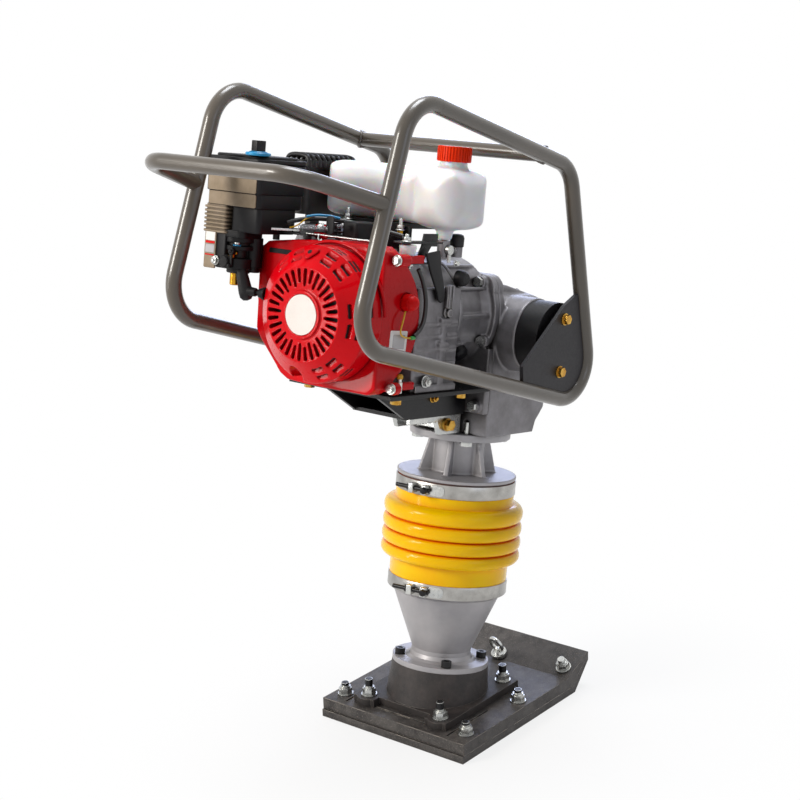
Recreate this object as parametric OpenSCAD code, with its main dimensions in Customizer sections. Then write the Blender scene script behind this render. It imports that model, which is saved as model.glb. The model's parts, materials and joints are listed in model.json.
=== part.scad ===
// Jumping jack rammer: petrol engine, centrifugal clutch, gear case, sprung ram leg, tamping shoe
// and guard frame.
// Origin: middle of the flat and turned-up shoe, on the ground. +X is the toe, +Y the left side, +Z up.
// Everything from the foot casting upwards leans forward with the leg: lean() holds that frame.

/* [Tamping shoe] */
// Width of the shoe
shoe_width = 280; // [250:1:300]
// Length of the flat sole, from the rear edge to the toe bend
sole_flat = 300; // [270:1:330]
// Thickness of the wear plate under the shoe
sole_thick = 12; // [8:0.5:16]
// Thickness of the deck above the wear plate
deck_thick = 19; // [14:0.5:24]
// How far the toe reaches past its bend
toe_reach = 39; // [30:1:50]
// Height of the toe's tip above the ground
toe_rise = 57; // [50:1:66]
// Diameter of the shoe's studs
stud_d = 12; // [8:1:14]

/* [Leg] */
// Forward lean of the leg, in degrees
leg_lean = 10.32; // [8:0.02:12]
// Where the leg's axis meets the ground, behind the origin
leg_foot_x = 59.4; // [50:0.2:70]
// Radius of the foot casting's bolted top
base_r = 76; // [70:0.5:80]
// Height along the leg of the foot casting's top
base_top = 87; // [80:1:95]
// Radius at the waist of the leg cone
waist_r = 47; // [42:0.5:50]
// Radius of the bellows seats
seat_r = 89; // [86:0.5:92]
// Height along the leg of the lower bellows seat's top
lower_seat = 229.5; // [224:0.5:234]
// Height along the leg of the upper bellows seat's bottom
upper_seat = 364; // [360:0.5:372]
// Outer radius of the bellows' folds
fold_r = 109; // [104:0.5:114]
// Width of the clamp bands
band_w = 22; // [18:0.5:24]
// Outer radius of the neck below the gear case
neck_r = 40; // [36:0.5:44]
// Inner radius of the spring cylinder
bore_r = 50; // [47:0.5:52]
// Wall of the spring cylinder and of its guide sleeve
sleeve_wall = 6; // [4:0.5:8]
// Radius of the piston rod
rod_r = 16; // [12:0.5:20]

/* [Gear case] */
// Height of the engine shaft above the ground, along the leg
shaft_h = 650; // [640:1:660]
// Half width of the gear case
case_half = 85; // [82:1:92]
// Radius of the clutch housing
bell_r = 90; // [84:0.5:94]
// Height along the leg of the gear case's bottom
case_bottom = 464; // [460:0.5:468]
// Teeth on the clutch pinion
pinion_teeth = 13; // [12:1:15]
// Teeth on the crank gear
gear_teeth = 73; // [68:1:74]
// Module of the gear teeth
gear_module = 2; // [1.8:0.02:2.06]
// Throw of the crank pin
crank_throw = 20; // [12:1:22]
// Radius of the damper bosses
boss_r = 57; // [50:1:62]

/* [Engine] */
// Rear face of the fan cover, behind the leg's axis
fan_face = 335; // [325:1:345]
// Face of the recoil starter, behind the leg's axis
starter_face = 392; // [382:1:400]
// Radius of the starter's ring of slots
ring_r = 67.5; // [64:0.5:71]
// Slots in the starter's ring
ring_slots = 32; // [24:2:36]
// Shaft height above the engine's foot
engine_foot = 106; // [100:1:110]
// Length of the fuel tank across the machine
tank_length = 252; // [236:1:254]
// Depth of the fuel tank
tank_depth = 104; // [96:1:110]
// Height of the fuel tank
tank_height = 88; // [80:1:96]
// Radius of the filler cap
cap_r = 24; // [20:0.5:28]

/* [Guard frame] */
// Diameter of the guard tube
tube_d = 23; // [22:0.5:25]
// Distance of each side loop from the middle plane
loop_y = 172; // [168:1:178]
// Bend radius of the guard tube
bend_r = 57; // [52:1:60]
// Half width of the rear handle at its grip
handle_half = 136; // [126:1:146]
// Reach of the rear handle behind the loops
handle_reach = 141; // [130:1:150]
// Thickness of the gusset plates
gusset_thick = 6; // [4:0.5:8]

/* [Hidden] */
$fn = 64;

gap = 0.3;
joint = 0.05;
tube_lap = 1;
bend_ease = 0.05;

// ---- shoe ----
shoe_rear = -(sole_flat + toe_reach) / 2;
toe_bend = shoe_rear + sole_flat;
toe_tip = toe_bend + toe_reach;
deck_top = sole_thick + deck_thick;
crease_x = toe_bend - 22;
tip_bottom = toe_rise - 14;
tip_split = toe_rise - 7;
rear_lip = 3;
toe_slope = atan2(toe_rise - deck_top, toe_tip - crease_x);
stud_inset = 20;
stud_x = [shoe_rear + 32, shoe_rear + 169, toe_bend - 3];
stud_y = shoe_width / 2 - stud_inset;
base_stud_x = [shoe_rear + 33, shoe_rear + 196];
base_stud_y = 71;
base_plate = 12;
base_plate_top = deck_top + base_plate;
eye_x = toe_bend - 14;

// ---- leg, measured along its axis ----
flange_t = 8;
cone_flange_top = base_top + flange_t;
cylinder_r = bore_r + sleeve_wall;
cone_wall = 7;
cone_in = [waist_r - cone_wall, seat_r - 5 - cone_wall];
cone_z = [base_top + 28, lower_seat - band_w - 2];
cylinder_foot = cone_z[0] + (cylinder_r + 2 - cone_in[0])
    * (cone_z[1] - cone_z[0]) / (cone_in[1] - cone_in[0]);
cylinder_floor = cylinder_foot + 6;
cylinder_top = 345;
cap_t = 15;
piston_bottom = 230;
piston_t = 18;
disc_bottom = upper_seat + 16;
disc_top = upper_seat + band_w + 2;
disc_t = 6;
neck_bottom = disc_top + disc_t;
neck_top = case_bottom - 12;
neck_flange_r = 78.5;
sleeve_in = cylinder_r + 0.1;
sleeve_bottom = 262;
bellows_wall = 3;
fold_pitch = 21;
folds = 4;

// ---- gear case, x forward of the leg's axis ----
case_rear = -50;
case_front = 108;
bell_rear = -145;
bell_half = 84;
bell_flat = 60;
bell_corner = 22;
bell_depth = 2 * bell_corner + 4;
bell_bolts = [for (s = [-1, 1], q = [[62, shaft_h + 48], [75, shaft_h - 39], [70, case_bottom + 48]])
    [s * q[0], q[1]]];
drum_shaft_r = 10;
plug_x = -100;
gear_shaft_r = 18;
gear_drop = gear_module * (pinion_teeth + gear_teeth) / 2;
gear_h = shaft_h - gear_drop;
gear_face = 18;
gear_x = -38;
rod_length = 65;
damper_x = 6;
damper_h = 622;
boss_face = 120;
damper_face = loop_y - gusset_thick / 2 - gap;
damper_shoulder = loop_y - tube_d / 2 - 3;
damper_hub_r = 32;
bracket_h = shaft_h - engine_foot - 6;
bracket_bolt_xy = [[-272, -81], [-272, 81], [-120, -81], [-120, 81]];

// ---- engine ----
crank_r = 12;
button_x = -280;
button_h = shaft_h + 26;
cover_bolt = [-fan_face - 6, 19, shaft_h - 86];
ear_bolts = [[-309, -100.5, shaft_h - 93], [-318, -100.5, shaft_h + 85]];
ear_r = 9;
block_rear = -247;
block_front = bell_rear;
head_x = (block_rear + block_front) / 2;
head_tilt = 65;
flange_x = head_x + 12;
drum_base_r = ring_r + 28.5;
badge_r = 28;
badge_rim = 5.5;
cleaner_x = [-388, -290];
cleaner_y = [98, 206];
cleaner_h = [shaft_h + 135, shaft_h + 198];
tank_x = -205;
tank_y = -100;
tank_h = shaft_h + 125;
muffler_h = tank_h + 1;
muffler_box = [112, 46, 66];
muffler_at = [-228, 156];
muffler_top = muffler_h + muffler_box[2];
guard_rim = 3;
carb_h = shaft_h + 70;
carb_at = [-318, 160];
choke_pin_r = 2.5;
plate_h = shaft_h + 103;
plate_t = 2.5;
throttle_at = [-318, 88];
filler_x = -152;
filler_y = -57;

// ---- guard frame, upright, in X and Z ----
loop_points = [[-286.8, 1014.4], [75.2, 868.4], [127.7, 491], [-421.7, 708.6]];
loop_bends = [bend_r, bend_r - 4, bend_r - 2, bend_r];
handle_h = 880;
handle_x = loop_points[3][0] + (handle_h - loop_points[3][1])
    * (loop_points[0][0] - loop_points[3][0]) / (loop_points[0][1] - loop_points[3][1]);
handle_tilt = 23;
crossbar_x = 9.1;
crossbar_h = loop_points[0][1] + (crossbar_x - loop_points[0][0])
    * (loop_points[1][1] - loop_points[0][1]) / (loop_points[1][0] - loop_points[0][0]);
gusset_arc = [67.2, 566.6];
gusset_arc_r = 45;

// ---- general helpers ----
module lean() {
    translate([-leg_foot_x, 0, 0]) rotate([0, leg_lean, 0]) children();
}

// An outline in Y and height, carried forward from x0 to x1.
module across(x0, x1) {
    translate([x0, 0, 0]) rotate([90, 0, 90]) linear_extrude(x1 - x0) children();
}

module shaft_cyl(x0, x1, r, h = shaft_h, y = 0) {
    translate([x0, y, h]) rotate([0, 90, 0]) cylinder(h = x1 - x0, r = r);
}

module shaft_cone(x0, x1, r0, r1, h = shaft_h, y = 0) {
    translate([x0, y, h]) rotate([0, 90, 0]) cylinder(h = x1 - x0, r1 = r0, r2 = r1);
}

module side_cyl(x, h, y0, y1, r) {
    translate([x, y0, h]) rotate([-90, 0, 0]) cylinder(h = y1 - y0, r = r);
}

module box(x, y, z) {
    translate([x[0], y[0], z[0]]) cube([x[1] - x[0], y[1] - y[0], z[1] - z[0]]);
}

module rounded(w, d, r) {
    translate([r, 0]) square([w - 2 * r, d]);
    translate([0, r]) square([w, d - 2 * r]);
    for (u = [r, w - r], v = [r, d - r]) translate([u, v]) circle(r = r);
}

// An outline in X and Z, given its thickness to both sides of the middle plane.
module side_plate(points, y0, y1) {
    translate([0, y1, 0]) rotate([90, 0, 0]) linear_extrude(y1 - y0) polygon(points);
}

module hex(af, h) {
    cylinder(h = h, r = af / sqrt(3), $fn = 6);
}

// A hexagon-headed bolt whose head stands on z = 0 and whose shank goes down.
module bolt(d, head, shank) {
    hex(d * 1.7, head);
    translate([0, 0, -shank]) cylinder(h = shank + 0.5, r = d / 2);
}

// A socket-headed screw whose head stands on z = 0 and whose shank goes down.
module socket_screw(d, shank) {
    difference() {
        cylinder(h = d, r = d * 0.8);
        translate([0, 0, d * 0.4]) cylinder(h = d, r = d * 0.45, $fn = 6);
    }
    translate([0, 0, -shank]) cylinder(h = shank + 0.5, r = d / 2);
}

// A locking nut on a stud, standing on z = 0.
module locknut(d, proud, shank) {
    cylinder(h = 2, r = d * 1.05);
    translate([0, 0, 2]) hex(d * 1.55, d * 0.75);
    translate([0, 0, 2 + d * 0.75]) cylinder(h = d * 0.25, r = d * 0.7);
    translate([0, 0, -shank]) cylinder(h = shank + 2 + d + proud, r = d / 2);
}

function unit2(v) = v / norm(v);
function left_of(v) = [-v[1], v[0]];
function turn_of(a, b) = acos(min(1, max(-1, a * b)));
function cross2(a, b) = a[0] * b[1] - a[1] * b[0];

// A round tube through the corners p, bent with the radii r, lying in the XY plane.
// Its straights run into the bends by tube_lap, and the bends are thinner by bend_ease.
module bent_tube(p, r, d, closed) {
    n = len(p);
    function at(i) = p[(i + n) % n];
    function dir(i) = unit2(at(i + 1) - at(i));
    function bent(i) = closed || (i > 0 && i < n - 1);
    function lead(i) = bent(i) ? r[i] * tan(turn_of(dir(i - 1), dir(i)) / 2) : 0;
    for (i = [0 : closed ? n - 1 : n - 2]) {
        from = at(i) + dir(i) * (lead(i) - (bent(i) ? tube_lap : 0));
        to = at(i + 1) - dir(i) * (lead((i + 1) % n) - (bent((i + 1) % n) ? tube_lap : 0));
        translate([from[0], from[1], 0]) rotate([0, 90, atan2(dir(i)[1], dir(i)[0])])
            cylinder(h = norm(to - from), r = d / 2);
    }
    for (i = [0 : n - 1]) if (bent(i)) {
        before = dir(i - 1);
        side = cross2(before, dir(i)) > 0 ? 1 : -1;
        middle = at(i) - before * lead(i) + side * left_of(before) * r[i];
        out = -side * left_of(before);
        start = atan2(out[1], out[0]);
        turn = turn_of(before, dir(i));
        translate([middle[0], middle[1], 0]) rotate([0, 0, side > 0 ? start : start - turn])
            rotate_extrude(angle = turn) translate([r[i], 0]) circle(r = d / 2 - bend_ease);
    }
}

// ---- swept wires and coils ----
function ring_at(c, t, r, sides) =
    let (u = t / norm(t), a = abs(u[2]) < 0.9 ? [0, 0, 1] : [1, 0, 0],
        v = cross(u, a) / norm(cross(u, a)), w = cross(u, v))
    [for (k = [0 : sides - 1]) c + r * (cos(360 * k / sides) * v + sin(360 * k / sides) * w)];

module swept(path, r, sides = 8) {
    n = len(path);
    rings = [for (i = [0 : n - 1]) let (t = path[min(i + 1, n - 1)] - path[max(i - 1, 0)])
        each ring_at(path[i], t, r, sides)];
    walls = [for (i = [0 : n - 2], k = [0 : sides - 1])
        let (a = i * sides + k, b = i * sides + (k + 1) % sides)
        each [[a, a + sides, b], [b, a + sides, b + sides]]];
    first = [for (k = [0 : sides - 1]) k];
    last = [for (k = [sides - 1 : -1 : 0]) (n - 1) * sides + k];
    polyhedron(points = rings, faces = concat(walls, [first, last]));
}

module coil(r, wire, h, turns, sides = 6, steps = 18) {
    total = turns * steps;
    swept([for (i = [0 : total]) let (a = 360 * i / steps)
        [r * cos(a), r * sin(a), wire / 2 + (h - wire) * i / total]], wire / 2, sides);
}

// ---- foot ----
module sole_plate() {
    outline = [[shoe_rear - rear_lip, 0], [toe_bend, 0], [toe_tip, tip_bottom], [toe_tip, tip_split],
        [toe_bend - 12, sole_thick], [shoe_rear - rear_lip, sole_thick]];
    color("#3a3634") difference() {
        side_plate(outline, -shoe_width / 2, shoe_width / 2);
        for (x = stud_x, s = [-1, 1]) translate([x, s * stud_y, sole_thick - 5 - joint])
            cylinder(h = toe_rise, r = stud_d / 2 + joint);
    }
}

module shoe_deck() {
    outline = [[shoe_rear, sole_thick + joint], [toe_bend - 12, sole_thick + joint],
        [toe_tip, tip_split + joint],
        [toe_tip, toe_rise], [crease_x, deck_top], [shoe_rear, deck_top]];
    color("#4a4644") difference() {
        side_plate(outline, -shoe_width / 2, shoe_width / 2);
        for (x = stud_x, s = [-1, 1]) translate([x, s * stud_y, 0])
            cylinder(h = toe_rise * 2, r = stud_d / 2 + joint);
        for (x = base_stud_x, s = [-1, 1]) translate([x, s * base_stud_y, deck_top - 14])
            cylinder(h = 20, r = stud_d / 2 + joint);
        translate([eye_x, 0, sole_thick + 6]) cylinder(h = toe_rise, r = 6 + joint);
        for (s = [-1, 1]) translate([shoe_rear + 10, s * 101 - 1.5, deck_top - 2]) cube([104, 3, 3]);
        translate([shoe_rear + 21, -base_stud_y, deck_top - 2]) cube([3, 2 * base_stud_y, 3]);
    }
}

module shoe_nuts() {
    color("silver") {
        for (x = [stud_x[0], stud_x[1]], s = [-1, 1]) translate([x, s * stud_y, deck_top])
            locknut(stud_d, 6, deck_thick + 5);
        for (s = [-1, 1]) translate([stud_x[2], s * stud_y,
            deck_top + (stud_x[2] - crease_x) * tan(toe_slope)])
            rotate([0, -toe_slope, 0]) difference() {
                locknut(stud_d, 6, 12);
                translate([0, 0, -30]) cube([60, 60, 60 - 60 * joint], center = true);
            }
        for (x = base_stud_x, s = [-1, 1]) translate([x, s * base_stud_y, base_plate_top])
            locknut(stud_d, 13, base_plate + 14);
    }
}

module lifting_eye() {
    top = deck_top + (eye_x - crease_x) * tan(toe_slope);
    color("gainsboro") {
        translate([eye_x, 0, top]) rotate([0, -toe_slope, 0]) {
            translate([0, 0, 1.5]) cylinder(h = 6, r = 13);
            translate([0, 0, 7]) cylinder(h = 5, r1 = 11, r2 = 6);
            translate([0, 0, 24]) rotate([90, 0, 80]) rotate_extrude() translate([12, 0]) circle(r = 3.5);
        }
        translate([eye_x, 0, sole_thick + 6]) cylinder(h = top - sole_thick + 2, r = 6);
    }
}

module foot_base() {
    pad_x = [base_stud_x[0] - 14, base_stud_x[1] + 14];
    color("#2e2a28") difference() {
        union() {
            translate([0, 0, deck_top + joint]) linear_extrude(base_plate - joint) union() {
                translate([base_stud_x[0], -base_stud_y - 20])
                    square([base_stud_x[1] - base_stud_x[0], 2 * base_stud_y + 40]);
                for (x = base_stud_x, s = [-1, 1]) translate([x, s * base_stud_y]) circle(r = 20);
                for (s = [-1, 1]) translate([pad_x[0], s * base_stud_y - 20])
                    square([pad_x[1] - pad_x[0], 40]);
            }
            difference() {
                lean() {
                    translate([0, 0, 20]) cylinder(h = base_top - 20, r1 = base_r + 6, r2 = base_r);
                }
                translate([-400, -400, -300 + base_plate_top - 1]) cube([800, 800, 300]);
            }
        }
        for (x = base_stud_x, s = [-1, 1]) translate([x, s * base_stud_y, 0])
            cylinder(h = base_plate_top + 40, r = stud_d / 2 + joint);
        for (x = base_stud_x, s = [-1, 1]) translate([x, s * base_stud_y, base_plate_top])
            cylinder(h = 40, r = stud_d * 1.05 + 1);
        lean() {
            translate([0, 0, base_top - 22]) ring_of(4, base_r - 11, 45) cylinder(h = 40, r = 5 + joint);
            translate([0, 0, deck_top + 26]) cylinder(h = 100, r = 50);
        }
    }
}

// Copies its children round the leg's axis, the first at the angle turn.
module ring_of(n, r, turn = 0) {
    for (i = [0 : n - 1]) rotate([0, 0, turn + 360 * i / n]) translate([r, 0, 0]) children();
}

module foot_cone() {
    color("#a9a7a8") lean() difference() {
        rotate_extrude($fn = 96) polygon([[0, base_top + joint], [base_r, base_top + joint],
            [base_r, cone_flange_top],
            [waist_r + 9, cone_flange_top], [waist_r + 3, cone_flange_top + 3],
                [waist_r, cone_flange_top + 9],
            [waist_r, cone_flange_top + 16], [seat_r - 5, lower_seat - band_w - 4],
                [seat_r, lower_seat - band_w],
            [seat_r, lower_seat + 4], [0, lower_seat + 4]]);
        translate([0, 0, base_top - 1]) cylinder(h = 30, r = cone_in[0] - 4);
        translate([0, 0, cone_z[0]]) cylinder(h = cone_z[1] - cone_z[0], r1 = cone_in[0], r2 = cone_in[1]);
        translate([0, 0, cone_z[1] - 1]) cylinder(h = 60, r = cone_in[1]);
        translate([0, 0, base_top]) ring_of(4, base_r - 11, 45) cylinder(h = 40, r = 5 + joint);
    }
    color("#a9a7a8") lean() difference() {
        translate([0, 0, cylinder_foot - 8]) cylinder(h = 8, r = cylinder_r + 3);
        translate([0, 0, cylinder_foot - 9]) cylinder(h = 10, r = 30);
    }
}

module cone_bolts() {
    color("#1b1a19") lean() translate([0, 0, cone_flange_top + joint]) ring_of(4, base_r - 11, 45)
        socket_screw(10, 28);
}

module spring_cylinder() {
    color("#8d8f93") lean() difference() {
        translate([0, 0, cylinder_foot + joint]) cylinder(h = cylinder_top - cylinder_foot, r = cylinder_r);
        translate([0, 0, cylinder_floor]) cylinder(h = cylinder_top - cylinder_floor - cap_t, r = bore_r);
        translate([0, 0, cylinder_floor]) cylinder(h = 300, r = rod_r + 0.1);
    }
}

module lower_spring() {
    color("#5a5f66") lean() translate([0, 0, cylinder_floor + joint])
        coil(bore_r - 14, 8, piston_bottom - cylinder_floor - 2 * joint, 3.5);
}

module upper_spring() {
    color("#5a5f66") lean() translate([0, 0, piston_bottom + piston_t + joint])
        coil(bore_r - 14, 8, cylinder_top - cap_t - piston_bottom - piston_t - 2 * joint, 4);
}

module piston_rod() {
    color("#c9cbce") lean() {
        translate([0, 0, piston_bottom]) cylinder(h = piston_t, r = bore_r - gap);
        translate([0, 0, piston_bottom + piston_t - 1])
            cylinder(h = case_bottom - piston_bottom - piston_t, r = rod_r);
    }
}

// A band with its bolted lugs, closed round the leg at the height z0.
module clamp_band(z0, turn) {
    lean() translate([0, 0, z0]) rotate([0, 0, turn]) {
        difference() {
            cylinder(h = band_w - 1, r = seat_r + bellows_wall + 1.4, $fn = 96);
            translate([0, 0, -1]) cylinder(h = band_w + 2, r = seat_r + bellows_wall + joint, $fn = 96);
            translate([60, -6, -1]) cube([60, 12, band_w + 2]);
        }
        for (s = [-1, 1]) translate([seat_r + bellows_wall + 0.6, s * 12 - 4.5, 3])
            cube([12, 9, band_w - 7]);
        translate([seat_r + bellows_wall + 7, 0, band_w / 2 - 0.5]) rotate([90, 0, 0]) {
            translate([0, 0, -30]) cylinder(h = 62, r = 3.5);
            translate([0, 0, 27]) cylinder(h = 9, r = 6);
            translate([0, 0, 17]) hex(12, 7);
        }
    }
}

module lower_clamp() {
    color("#c4c4c0") clamp_band(lower_seat - band_w + 1, -171);
}

module upper_clamp() {
    color("#c4c4c0") clamp_band(upper_seat + 1.5, -178);
}

// The bellows' outer line: a round fold for each turn, between two straight necks.
function fold_arc(z, r) = [for (a = [-90 : 15 : 90]) [fold_r - r + r * cos(a), z + r * sin(a)]];
fold_zone = upper_seat - lower_seat;
fold_start = lower_seat + (fold_zone - (folds - 1) * fold_pitch) / 2;
fold_half = fold_pitch / 2 - 2;

module bellows() {
    w = bellows_wall;
    outer = [[seat_r + w, lower_seat - band_w + 1], [seat_r + w, lower_seat + 6],
        [seat_r + w + 4, fold_start - fold_half - 5],
        for (i = [0 : folds - 1]) each fold_arc(fold_start + i * fold_pitch, fold_half),
        [seat_r + w + 4, fold_start + (folds - 1) * fold_pitch + fold_half + 5],
            [seat_r + w, upper_seat - 6],
        [seat_r + w, upper_seat + band_w]];
    inner = [for (i = [len(outer) - 1 : -1 : 0]) [max(seat_r + joint, outer[i][0] - w), outer[i][1]]];
    color("#ffc400") lean() rotate_extrude($fn = 96) polygon(concat(outer, inner));
}

// ---- upper leg ----
module guide_cylinder() {
    color("#b2b2b4") lean() difference() {
        union() {
            translate([0, 0, upper_seat]) cylinder(h = disc_top - upper_seat + 1, r = seat_r, $fn = 96);
            translate([0, 0, disc_top]) cylinder(h = disc_t, r = seat_r + 4, $fn = 96);
            translate([0, 0, neck_bottom - 1]) cylinder(h = neck_top - neck_bottom + 2, r = neck_r);
            translate([0, 0, neck_top]) cylinder(h = case_bottom - neck_top - joint, r = neck_flange_r,
                $fn = 96);
            translate([0, 0, sleeve_bottom]) cylinder(h = disc_bottom - sleeve_bottom + 1, r =
                sleeve_in + sleeve_wall);
            for (i = [0 : 5]) rotate([0, 0, 60 * i + 20]) rotate([90, 0, 0]) translate([0, 0, -4])
                linear_extrude(8)
                polygon([[neck_r - 4, neck_bottom - 1], [62, neck_bottom - 1], [46, neck_top + 1],
                    [neck_r - 4, neck_top + 1]]);
        }
        translate([0, 0, sleeve_bottom - 1]) cylinder(h = disc_bottom - sleeve_bottom + 1, r = sleeve_in);
        translate([0, 0, upper_seat - 1]) difference() {
            cylinder(h = disc_bottom - upper_seat + 1, r = seat_r - 6);
            translate([0, 0, -1]) cylinder(h = 60, r = sleeve_in + sleeve_wall);
        }
        translate([0, 0, 300]) cylinder(h = 200, r = rod_r + 0.1);
        translate([0, 0, neck_top - 1]) ring_of(4, neck_flange_r - 13, 45) cylinder(h = 20, r = 5 + joint);
    }
}

module neck_bolts() {
    color("#b0aca4") lean() translate([0, 0, neck_top - joint]) ring_of(4, neck_flange_r - 13, 45)
        rotate([180, 0, 0]) bolt(10, 7, 30);
}

// ---- gear case ----
case_line = [[case_rear, case_bottom], [74, case_bottom], [80, case_bottom + 18], [97, case_bottom + 37],
    [106, case_bottom + 76], [case_front, shaft_h - 60], [104, shaft_h - 20], [90, shaft_h + 12],
    [58, shaft_h + 30], [4, shaft_h + 42], [case_rear, shaft_h + 49]];
case_round = 24;
case_ribs = [[70, case_bottom + 30], [102, case_bottom + 40], [112, case_bottom + 78],
    [case_front + 6, shaft_h - 60], [110, shaft_h - 22], [94, shaft_h + 17], [60, shaft_h + 35],
        [50, shaft_h]];

module gear_case() {
    color("#9c9ca2") lean() difference() {
        union() {
            intersection() {
                side_plate(case_line, -case_half, case_half);
                union() {
                    box([case_rear, case_front + 1], [-case_half, case_half], [case_bottom, shaft_h + 5]);
                    for (s = [-1, 1])
                        shaft_cyl(case_rear, case_front + 1, case_round, shaft_h + 5,
                            s * (case_half - case_round));
                    box([case_rear, case_front + 1], [case_round - case_half, case_half - case_round],
                        [shaft_h - 50, shaft_h + 110]);
                }
            }
            across(case_rear, case_rear + 14) bell_line();
            for (s = [-1, 1])
                side_cyl(damper_x, damper_h, s > 0 ? 20 : -boss_face, s > 0 ? boss_face : -20, boss_r);
            // Casting ribs down the front.
            for (y = [-40, 0, 40]) side_plate(case_ribs, y - 3, y + 3);
        }
        shaft_cyl(case_rear - 1, gear_x + gear_face + 6, gear_module * gear_teeth / 2 + 5, gear_h);
        shaft_cyl(case_rear - 1, gear_x + gear_face + 6, 30);
        box([case_rear - 30, case_rear], [-boss_face - 1, boss_face + 1], [case_bottom - 1, shaft_h + 110]);
        box([gear_x + gear_face + 4, 22], [-42, 42], [case_bottom + 1, gear_h + 42]);
        translate([0, 0, case_bottom - 1]) cylinder(h = 30, r = rod_r + 4);
        translate([0, 0, case_bottom - 1]) ring_of(4, neck_flange_r - 13, 45)
            cylinder(h = 22, r = 5 + joint);
        for (q = bell_bolts) shaft_cyl(case_rear - 1, case_rear + 15, 4 + joint, q[1], q[0]);
    }
}

// The flange between the gear case and the clutch housing: round below, with a flat top.
module bell_line() {
    translate([-bell_half, shaft_h + bell_flat - bell_depth])
        rounded(2 * bell_half, bell_depth, bell_corner);
    intersection() {
        translate([0, shaft_h]) circle(r = bell_r);
        translate([-bell_r, shaft_h - bell_r]) square([2 * bell_r, bell_r + bell_flat - bell_corner]);
    }
}

// Moves its children to the radius r from the engine shaft, at the angle a from the left side.
module rotate_shaft(a, r) {
    translate([0, r * cos(a), shaft_h + r * sin(a)]) children();
}

module clutch_housing() {
    color("#a3a3a8") lean() difference() {
        union() {
            across(case_rear - 12, case_rear - joint) bell_line();
            box([case_rear - 12, case_rear - joint], [-case_half, case_half],
                [case_bottom + 36, shaft_h - 50]);
            shaft_cone(case_rear - 40, case_rear - 11, bell_r - 18, bell_r - 8);
            shaft_cyl(bell_rear + joint, case_rear - 11, bell_r - 14);
            shaft_cyl(bell_rear + joint, bell_rear + 9, bell_r - 4);
            translate([plug_x, 0, shaft_h]) rotate([135, 0, 0]) cylinder(h = bell_r - 13, r = 15);
            for (a = [0 : 30 : 330]) rotate_shaft(0, 0) rotate([a, 0, 0])
                box([bell_rear + 2, case_rear - 11], [bell_r - 20, bell_r - 8], [-3, 3]);
            for (q = bell_bolts) shaft_cyl(case_rear - 20, case_rear - 11, 9, q[1], q[0]);
        }
        shaft_cyl(bell_rear - 1, case_rear - 14, 64);
        shaft_cyl(case_rear - 15, case_rear + 1, drum_shaft_r + joint);
        shaft_cyl(case_rear - 8, case_rear + 1, gear_shaft_r + joint, gear_h);
        for (q = bell_bolts) shaft_cyl(case_rear - 30, case_rear + 1, 4 + joint, q[1], q[0]);
        for (q = bell_bolts) shaft_cyl(bell_rear + 30, case_rear - 20, 9.2, q[1], q[0]);
        for (a = [45 : 90 : 359]) rotate_shaft(a, bell_r - 12)
            shaft_cyl(bell_rear - 1, bell_rear + 12, 4 + joint, 0);
    }
}

module housing_bolts() {
    color("#b9b5ac") lean() for (q = bell_bolts) translate([case_rear - 20 - joint, q[0], q[1]])
        rotate([0, -90, 0])
        bolt(8, 6, 28);
}

module housing_plug() {
    color("#161514") lean() translate([plug_x, 0, shaft_h]) rotate([135, 0, 0])
        translate([0, 0, bell_r - 13 + joint]) {
        cylinder(h = 8, r = 13);
        translate([0, 0, 8 - joint]) cylinder(h = 4, r1 = 13, r2 = 10);
    }
}

mount_front = case_rear - 12 - 2 * joint;
mount_top = case_bottom + 33;

// A cheek of the mounting block, thinner where it reaches back under the engine to the rear edge x0.
function cheek_line(x0) = [[x0, mount_top - 10], [-122, mount_top - 10], [-112, case_bottom + 2],
    [mount_front, case_bottom + 2], [mount_front, mount_top], [x0, mount_top]];

module mount_block() {
    color("#d2d2d0") lean() {
        for (s = [-1, 1])
            side_plate(cheek_line(s < 0 ? -186 : -150), s > 0 ? 36 : -44, s > 0 ? 44 : -36);
        box([-70, mount_front], [-44, 44], [case_bottom + 2, mount_top]);
    }
}

module drain_plug() {
    color("#c8861e") lean() translate([-99, -44 - joint, case_bottom + 18]) rotate([90, 0, 0]) {
        cylinder(h = 4, r = 10);
        translate([0, 0, 3]) hex(15, 9);
    }
}

module engine_bracket() {
    color("#1c1b1b") lean() difference() {
        bracket_shape();
        for (q = bracket_bolt_xy) translate([q[0], q[1], bracket_h - 1]) cylinder(h = 8, r = 4 + joint);
    }
}

module bracket_shape() {
        box([-300, -66], [-96, 96], [bracket_h, bracket_h + 6 - joint]);
        for (s = [-1, 1]) side_plate([[-282, bracket_h + 1], [-206, mount_top + 1],
            [case_rear - 14, mount_top + 1], [case_rear - 14, bracket_h + 1]], s > 0 ? 44 : -50,
                s > 0 ? 50 : -44);
        box([-206, case_rear - 14], [-50, 50], [mount_top + joint, mount_top + 6]);
        box([case_rear - 20, case_rear - 12 - joint], [-50, 50], [mount_top + 5, bracket_h + 1]);
}

module bracket_bolts() {
    color("#c9a43a") lean() {
        for (q = bracket_bolt_xy) translate([q[0], q[1], bracket_h - joint]) rotate([180, 0, 0])
            bolt(8, 8, 5);
    }
}

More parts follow.
